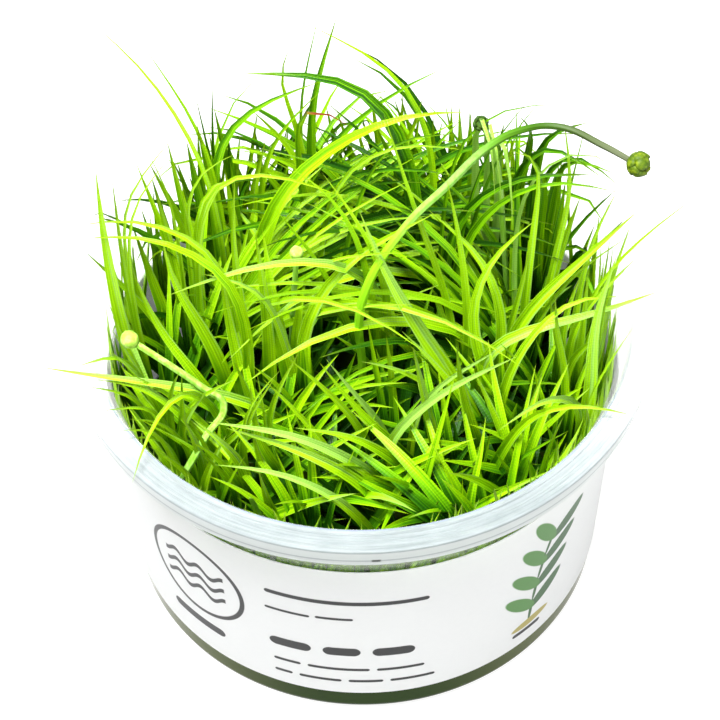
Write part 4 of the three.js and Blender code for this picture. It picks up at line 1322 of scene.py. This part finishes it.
# Painted shade on the neck, and a painted reflection that pales the wet band at the sides.
dry_colour = plastic.mix(frost, plastic.mix(neck, CLEAR, NECK_SHADE_OLIVE), rim_colour)
wet_colour = plastic.mix(plastic.span(plastic.math("ABSOLUTE", angle), 0.15, 0.9),
                         WET_FRONT, WET_SIDES_REFLECTION)
plastic.set(
    Base_Color=plastic.mix(wet, dry_colour, wet_colour),
    Roughness=plastic.span(misty, 0, 1, 0.03, 0.3),
    Transmission_Weight=plastic.math("SUBTRACT", plastic.span(misty, 0, 1, 1.0, 0.5), wet),
    Alpha=plastic.span(plastic.math("MAXIMUM", misty, wet), 0, 1, 0.35, 1.0),
    Specular_Tint=(0.3, 0.32, 0.33),
    Specular_IOR_Level=0.3,
    IOR=1.15,
    Normal=plastic.bump(plastic.times(plastic.math("ADD", rings, streaks), misty), 0.05 * MM, 0.5),
)
dress(cup, plastic)
print("gel shows through up to", WET_HEIGHT / MM, "mm")

# %% [markdown]
# ## Gel finish
# Set agar is wet and cloudy and full of leaf bases and roots. It is a dark olive mass, partly from its own
# colour and partly from painted shade, as little light comes down to it between the leaves. Its colour
# wanders in soft clouds.

# %% Gel material
CLOUD_SCALE = 120
# Dark olive: the gel's own colour, darkened by painted shade.
GEL_COLOURS_IN_SHADE = {0.3: (0.015, 0.03, 0.002), 0.55: (0.028, 0.05, 0.003), 0.75: (0.06, 0.085, 0.01)}

agar = Finish("agar_gel")
agar.set(
    Base_Color=agar.ramp(agar.noise(agar.place(), CLOUD_SCALE, 5), GEL_COLOURS_IN_SHADE),
    Roughness=0.3,
    Specular_IOR_Level=0.1,
    IOR=1.34,
)
dress(gel, agar)
print("colours in the gel", len(GEL_COLOURS_IN_SHADE))

# %% [markdown]
# ## Marks for the label
# The print is only colour, so it is drawn in the material, on the distance round the wall
# and the height, in millimetres. A mark is a small function that gives 1 inside its shape
# and 0 outside, with a narrow soft edge.

# %% Label marks
PRINT_RADIUS = 43.2  # mm, turns the angle into a distance round the wall
LINE_EDGE, BAR_EDGE, END_EDGE = 0.08, 0.06, 0.1

paper = Finish("label_paper")
x, y, z = paper.parts(paper.place())
print_place = paper.together(paper.times(paper.bearing(x, y), PRINT_RADIUS), paper.times(z, 1 / MM))


def from_centre(centre, turn=0.0, size=(1, 1)):
    """Print coordinates moved to a centre, turned and scaled, for one mark."""
    return paper.node("ShaderNodeMapping", {
        "Vector": print_place, "Location": (*centre, 0), "Rotation": (0, 0, turn),
        "Scale": (*size, 1)}, vector_type="TEXTURE")


def within(value, limit, edge):
    return paper.span(value, limit + edge, limit - edge)


def oval(centre, turn, size):
    return paper.span(paper.length(from_centre(centre, turn, size)), 1.04, 0.9)


def bar(left, right, height, thick):
    """A bar with round ends, from left to right at a height."""
    middle, half = (left + right) / 2, (right - left - thick) / 2
    out = paper.vector("SUBTRACT", paper.vector("ABSOLUTE", from_centre((middle, height))), (half, 0, 0))
    return within(paper.length(paper.vector("MAXIMUM", out)), thick / 2, BAR_EDGE)


def ring(centre, radius, thick):
    return within(paper.apart(paper.length(from_centre(centre)), radius), thick / 2, LINE_EDGE)


def wave(centre, half, crest, pitch, thick):
    along, above, _ = paper.parts(from_centre(centre))
    line = within(paper.apart(above, paper.times(paper.wave(along, pitch), crest)),
                  thick / 2, LINE_EDGE)
    return paper.times(line, within(paper.math("ABSOLUTE", along), half, END_EDGE))


print("marks are drawn on a radius of", PRINT_RADIUS, "mm")

# %% [markdown]
# ## The label's design
# The design is generic: a ring with three waves at the left, bars in place of lines of
# writing in the middle, and a sprig of oval leaves at the right, in the greens and greys of
# such labels. Each mark comes with its own ink.

# %% Label design
INK = (0.003, 0.004, 0.004)
EMBLEM, EMBLEM_RADIUS, EMBLEM_LINE = (-31.5, 28), 10, 0.9
WAVES = (-3.2, 0, 3.2)  # heights from the emblem's centre
WAVE_SHAPE = dict(half=6.6, crest=0.9, pitch=5.2, thick=1.2)
BARS = [
    # left, right, height, thickness, in mm
    (-17, 10.2, 35.3, 1.1), (-17.2, -9.5, 30.2, 0.7), (-8.6, -2.3, 30.4, 0.7),
    (-16.9, -9.6, 20, 2.5), (-7.6, -1.2, 20, 2.5), (0.8, 8, 20, 2.5),
    (-16.4, -11.6, 14.2, 0.8), (-10.4, 0.3, 14.2, 0.8), (1.5, 9.7, 14.2, 0.8),
    (-16.4, -13.2, 10.4, 0.8), (-12, -4.6, 10.4, 0.8), (-3.4, 2.6, 10.4, 0.8), (3.8, 11.6, 10.4, 0.8),
    (-38, -26, 14, 2.2), (27, 33.5, 10.2, 1.1),
]
STEM = [(30.5, 13), (30.9, 19), (31.6, 25), (32.8, 31), (34.5, 36.5)]
STEM_PART, SPRIG_LEAF = (3.4, 0.4), (4.8, 1.6)  # half lengths and half widths of their ovals
LEAF_REACH, LEAF_DROP, LEAF_SPREAD = 4, 2, 0.85  # a leaf's middle from its joint, and its angle
STEM_GREEN, LEAF_GREEN, LEAF_LIME = (0.03, 0.12, 0.02), (0.025, 0.12, 0.02), (0.07, 0.26, 0.03)
SAND, SAND_PATCH = (0.45, 0.38, 0.08), dict(centre=(31, 12.4), turn=0.1, size=(4.5, 1.1))

marks = [(ring(EMBLEM, EMBLEM_RADIUS, EMBLEM_LINE), INK)]
marks += [(wave((EMBLEM[0], EMBLEM[1] + lift), **WAVE_SHAPE), INK) for lift in WAVES]
marks += [(bar(*facts), INK) for facts in BARS]
for low, high in zip(STEM, STEM[1:]):
    lean = math.atan2(high[1] - low[1], high[0] - low[0])
    middle = ((low[0] + high[0]) / 2, (low[1] + high[1]) / 2)
    marks.append((oval(middle, lean, STEM_PART), STEM_GREEN))
    for way, green in ((-1, LEAF_GREEN), (1, LEAF_LIME)):
        turn = lean + way * LEAF_SPREAD
        centre = (high[0] + LEAF_REACH * math.cos(turn),
                  high[1] - LEAF_DROP + LEAF_REACH * math.sin(turn))
        marks.append((oval(centre, turn, SPRIG_LEAF), green))
marks.append((oval(**SAND_PATCH), SAND))
print("marks on the label", len(marks))

# %% [markdown]
# ## Label finish
# The paper is white and lightly coated, with a very faint mottle, and part of the light
# passes through it. The marks are laid over its white one after another.

# %% Label material
PAPER_WHITE, PAPER_MOTTLE, MOTTLE_SCALE = (0.83, 0.84, 0.835), (0.81, 0.82, 0.82), 900
PAPER_GLOW = 0.4  # share of the light that passes through the paper

mottle = paper.span(paper.noise(paper.place(), MOTTLE_SCALE, 2), 0.35, 0.65, 0, 0.35)
colour = paper.mix(mottle, PAPER_WHITE, PAPER_MOTTLE)
for mark, tint in marks:
    colour = paper.mix(mark, colour, tint)
paper.set(Base_Color=colour, Roughness=0.35, Specular_IOR_Level=0.3, Coat_Weight=0.3,
          Coat_Roughness=0.3)
paper.let_light_through(PAPER_GLOW, colour)
dress(label, paper)
print("light through the label", PAPER_GLOW)

# %% [markdown]
# ## Stalk finishes
# The young stalks are lime green with paler ribs, and darker, as painted shade, where they stand deep
# between the leaves. The long one is lime at its foot, silvery in the middle, from pale fibres and a
# painted highlight, and dull grey green under its head, so its colour follows how far it has leaned to the
# right. Both have fine fibres along them.

# %% Stalk materials
FIBRE_SCALE = (1500, 1500, 160)
YOUNG_STALK = {0.3: (0.19, 0.45, 0.02), 0.5: (0.28, 0.56, 0.06), 0.68: (0.4, 0.67, 0.15)}
SHADED_STALK, SHADED_HEIGHTS = (0.05, 0.22, 0.005), (30 * MM, 54 * MM)
OLD_STALK = {
    # by the distance to the right of the cup's axis, as a share of the stalk's reach
    0.0: (0.24, 0.58, 0.01), 0.16: (0.22, 0.55, 0.01), 0.34: (0.16, 0.4, 0.03),
    0.52: (0.08, 0.22, 0.01), 0.68: (0.03, 0.09, 0.003), 0.85: (0.05, 0.08, 0.02), 1.0: (0.11, 0.13, 0.07),
}
OLD_REACH = 41 * MM
# The silvery band: pale fibres and a painted highlight.
SILVER_SHEEN, SILVER_SHEEN_MIDDLE = (0.3, 0.54, 0.14), OLD_REACH * 0.33


def stalk_finish(name):
    """A new finish, the noise of its fibres and the place along x, y and z."""
    finish = Finish(name)
    place = finish.place()
    fibres = finish.noise(finish.vector("MULTIPLY", place, FIBRE_SCALE), 1.0)
    return finish, fibres, finish.parts(place)


young_stalk, fibres, (_, _, height) = stalk_finish("young_stalk")
shaded = young_stalk.span(height, *SHADED_HEIGHTS, 0.7, 0)
young_stalk.set(Base_Color=young_stalk.mix(shaded, young_stalk.ramp(fibres, YOUNG_STALK), SHADED_STALK),
                Roughness=0.4, Specular_IOR_Level=0.2)
old_stalk, fibres, (across, _, _) = stalk_finish("old_stalk")
ripened = old_stalk.ramp(old_stalk.span(across, 0, OLD_REACH, kind="LINEAR"), OLD_STALK)
# Pale fibres and a painted highlight, strongest in the middle of the stalk's reach.
silver_sheen = old_stalk.times(old_stalk.span(fibres, 0.3, 0.7, 0.3, 0.9),
                         old_stalk.span(old_stalk.apart(across, SILVER_SHEEN_MIDDLE),
                                        OLD_REACH * 0.25, OLD_REACH * 0.08, 0, 0.6))
old_stalk.set(Base_Color=old_stalk.mix(silver_sheen, ripened, SILVER_SHEEN), Roughness=0.4,
              Specular_IOR_Level=0.1)
for name, stalk in stalks.items():
    dress(stalk, old_stalk if name == "long" else young_stalk)
print("stalks dressed", len(stalks))

# %% [markdown]
# ## Head finishes
# The long stalk's head is olive green with yellow-green bract tips, the one at the back has
# withered darker, and the young ones are pale yellow-green.

# %% Head materials
HEAD_COLOURS = {
    "old": {0.3: (0.02, 0.05, 0.001), 0.5: (0.07, 0.12, 0.002), 0.72: (0.18, 0.24, 0.005)},
    "young": {0.3: (0.22, 0.42, 0.03), 0.5: (0.34, 0.56, 0.07), 0.72: (0.5, 0.7, 0.18)},
    "withered": {0.3: (0.008, 0.03, 0.002), 0.5: (0.03, 0.08, 0.005), 0.72: (0.1, 0.18, 0.02)},
}
HEAD_AGES = {"long": "old", "left": "young", "middle": "young", "back": "withered"}
FLECK_SCALE = 900

head_finishes = {}
for age, stops in HEAD_COLOURS.items():
    finish = Finish(f"{age}_head")
    finish.set(Base_Color=finish.ramp(finish.noise(finish.place(), FLECK_SCALE), stops),
               Roughness=0.55, Specular_IOR_Level=0.2)
    head_finishes[age] = finish
for name, head in heads.items():
    dress(head, head_finishes[HEAD_AGES[name]])
print("finishes", len(bpy.data.materials))

# %% [markdown]
# ## Tying the pieces to the imported model
# Every piece rides on the one body and stands for its plain solid, which is hidden.

# %% Bodies and nodes
def stand_for(piece, node):
    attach(piece, "root")
    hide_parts(node)


stand_for(cup, "cup")
stand_for(label, "label")
stand_for(gel, "nutrient_gel")
for number, piece in enumerate(plantlets, 1):
    stand_for(piece, f"plantlet_{number:02d}")
for name in FLOWERS:
    stand_for(stalks[name], f"flower_stalk_{name}")
    stand_for(heads[name], f"flower_head_{name}")

low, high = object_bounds()
print("visual box in mm", [round(v / MM, 1) for v in (*low, *high)])
